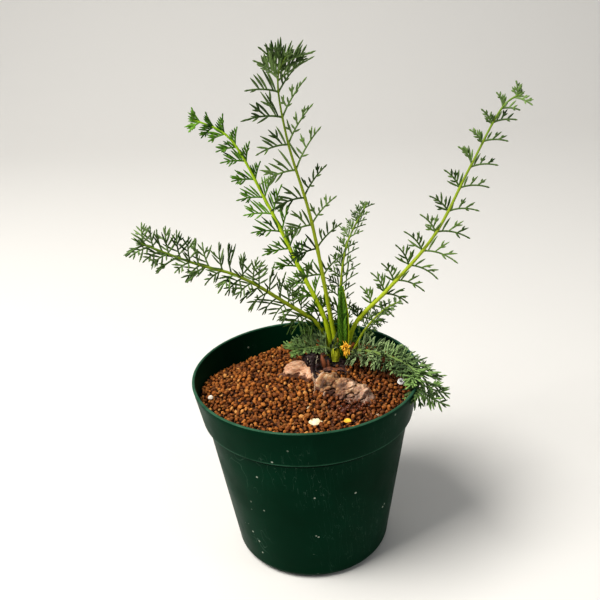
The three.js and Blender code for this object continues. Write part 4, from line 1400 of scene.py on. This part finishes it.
def make_ring():
    """A pale grain with a dished grey middle."""
    low, high = box_mm("ring_grain")
    place = np.array([(low[0] + high[0]) / 2 + 0.6, (low[1] + high[1]) / 2 - 2.8, high[2] + 0.5])
    big, small, turns, sides = 1.3, 0.72, 40, 16
    points, faces = [], []
    for i in range(turns):
        t = 2 * math.pi * i / turns
        swell = 1 + 0.12 * noise.noise(Vector((math.cos(t) * 1.4, math.sin(t) * 1.4, 2.0)))
        for j in range(sides):
            u = 2 * math.pi * j / sides
            reach = big * swell + small * swell * math.cos(u)
            points.append([reach * math.cos(t), reach * math.sin(t), 0.85 * small * math.sin(u)])
            a, b = i * sides + j, i * sides + (j + 1) % sides
            c, d = (a + sides) % (turns * sides), (b + sides) % (turns * sides)
            faces.append((a, c, d, b))
    mesh = Mesh()
    tilt = np.array(Matrix.Rotation(0.25, 3, "X"))
    mesh.add(np.array(points) @ tilt.T + place, faces, (0, 0.5, 0))
    blob(mesh, place - (0, 0, 0.15), (0.85, 0.85, 0.4), tint=(1, 0.5, 0))
    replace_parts(mesh.build("grain_ring", RING, "pale_mineral"), "ring_grain")


# Each flake: name, CAD node, x and y, half sizes, turn, material, slot and seed.
FLAKES = [
    ("chip_cream", "cream_flake", 3, -36, (2.9, 2.1, 0.65), 15, CREAM, "pale_mineral", 1),
    ("chip_orange", "orange_flake", 17, -36, (1.7, 1.1, 0.6), -10, WITHERED, "withered_tissue", 2),
    ("grain_left", "left_pale_grain", -45, -10, (1.4, 1.1, 0.9), 30, CHALK, "pale_mineral", 3),
    ("grain_back", "back_pale_grain", 30, 20, (1.2, 1.0, 0.8), 60, CHALK, "pale_mineral", 4),
]


def make_flakes():
    for row in FLAKES:
        flake(*row)
    make_ring()


# ---- stage and light


def add_stage():
    """A pale floor that curves up into a pale backdrop."""
    mesh = bpy.data.meshes.new("floor")
    half, depth, rise, bend = 4.0, 1.6, 2.6, 0.7
    section = [(-3.0, 0.0), (depth - bend, 0.0)]
    section += [(depth - bend + bend * math.sin(t), bend - bend * math.cos(t))
                for t in np.radians(np.linspace(6, 90, 15))]
    section.append((depth, rise))
    under = 0.0002  # keeps the floor clear of the pot's foot
    points = [(x, y, z - under) for y, z in section for x in (-half, half)]
    faces = [(2 * k, 2 * k + 1, 2 * k + 3, 2 * k + 2) for k in range(len(section) - 1)]
    mesh.from_pydata(points, [], faces)
    mesh.shade_smooth()
    floor = bpy.data.objects.new("floor", mesh)
    scene.collection.objects.link(floor)
    m = Nodes("floor")
    m.shade(base_color=(0.66, 0.645, 0.62, 1), roughness=0.85)
    mesh.materials.append(m.material)


# Each light, in metres and watts: name, place, size, power and colour.
LIGHTS = [
    ("key", (-0.6, -0.28, 1.15), (0.7, 0.7), 22, (1.0, 0.98, 0.94)),
    ("fill", (1.0, -0.5, 0.6), (0.5, 0.8), 2.2, (0.95, 0.98, 1.0)),
    ("side", (-1.1, -0.35, 0.3), (0.4, 0.8), 2.4, (1.0, 1.0, 1.0)),
    ("wall", (0.0, 1.3, 0.8), (2.4, 0.8), 5.0, (1.0, 0.99, 0.96)),
]
LIGHTS_AIM = (0, 0, 0.12)
WORLD_COLOUR = (0.95, 0.97, 1.0, 1)
WORLD_POWER = 0.24


def add_light(name, place, size, power, colour):
    data = bpy.data.lights.new(name, "AREA")
    data.shape = "RECTANGLE"
    data.size, data.size_y = size
    data.energy = power
    data.color = colour
    light = bpy.data.objects.new(name, data)
    aim = (Vector(LIGHTS_AIM) - Vector(place)).to_track_quat("-Z", "Y")
    light.matrix_world = Matrix.Translation(place) @ aim.to_matrix().to_4x4()
    scene.collection.objects.link(light)


def add_lights():
    for row in LIGHTS:
        add_light(*row)
    world = bpy.data.worlds.new("world")
    scene.world = world
    world.use_nodes = True
    background = world.node_tree.nodes["Background"]
    background.inputs[0].default_value = WORLD_COLOUR
    background.inputs[1].default_value = WORLD_POWER


# ---- put together

add_camera()
add_stage()
add_lights()
make_pot()
bed = make_bed()
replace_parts(bed, "growing_medium")
make_granules()
make_tuber()
make_crown()
make_scales()
make_roots()
make_leaves()
make_folded_leaf()
make_sheath()
make_withered()
make_flakes()
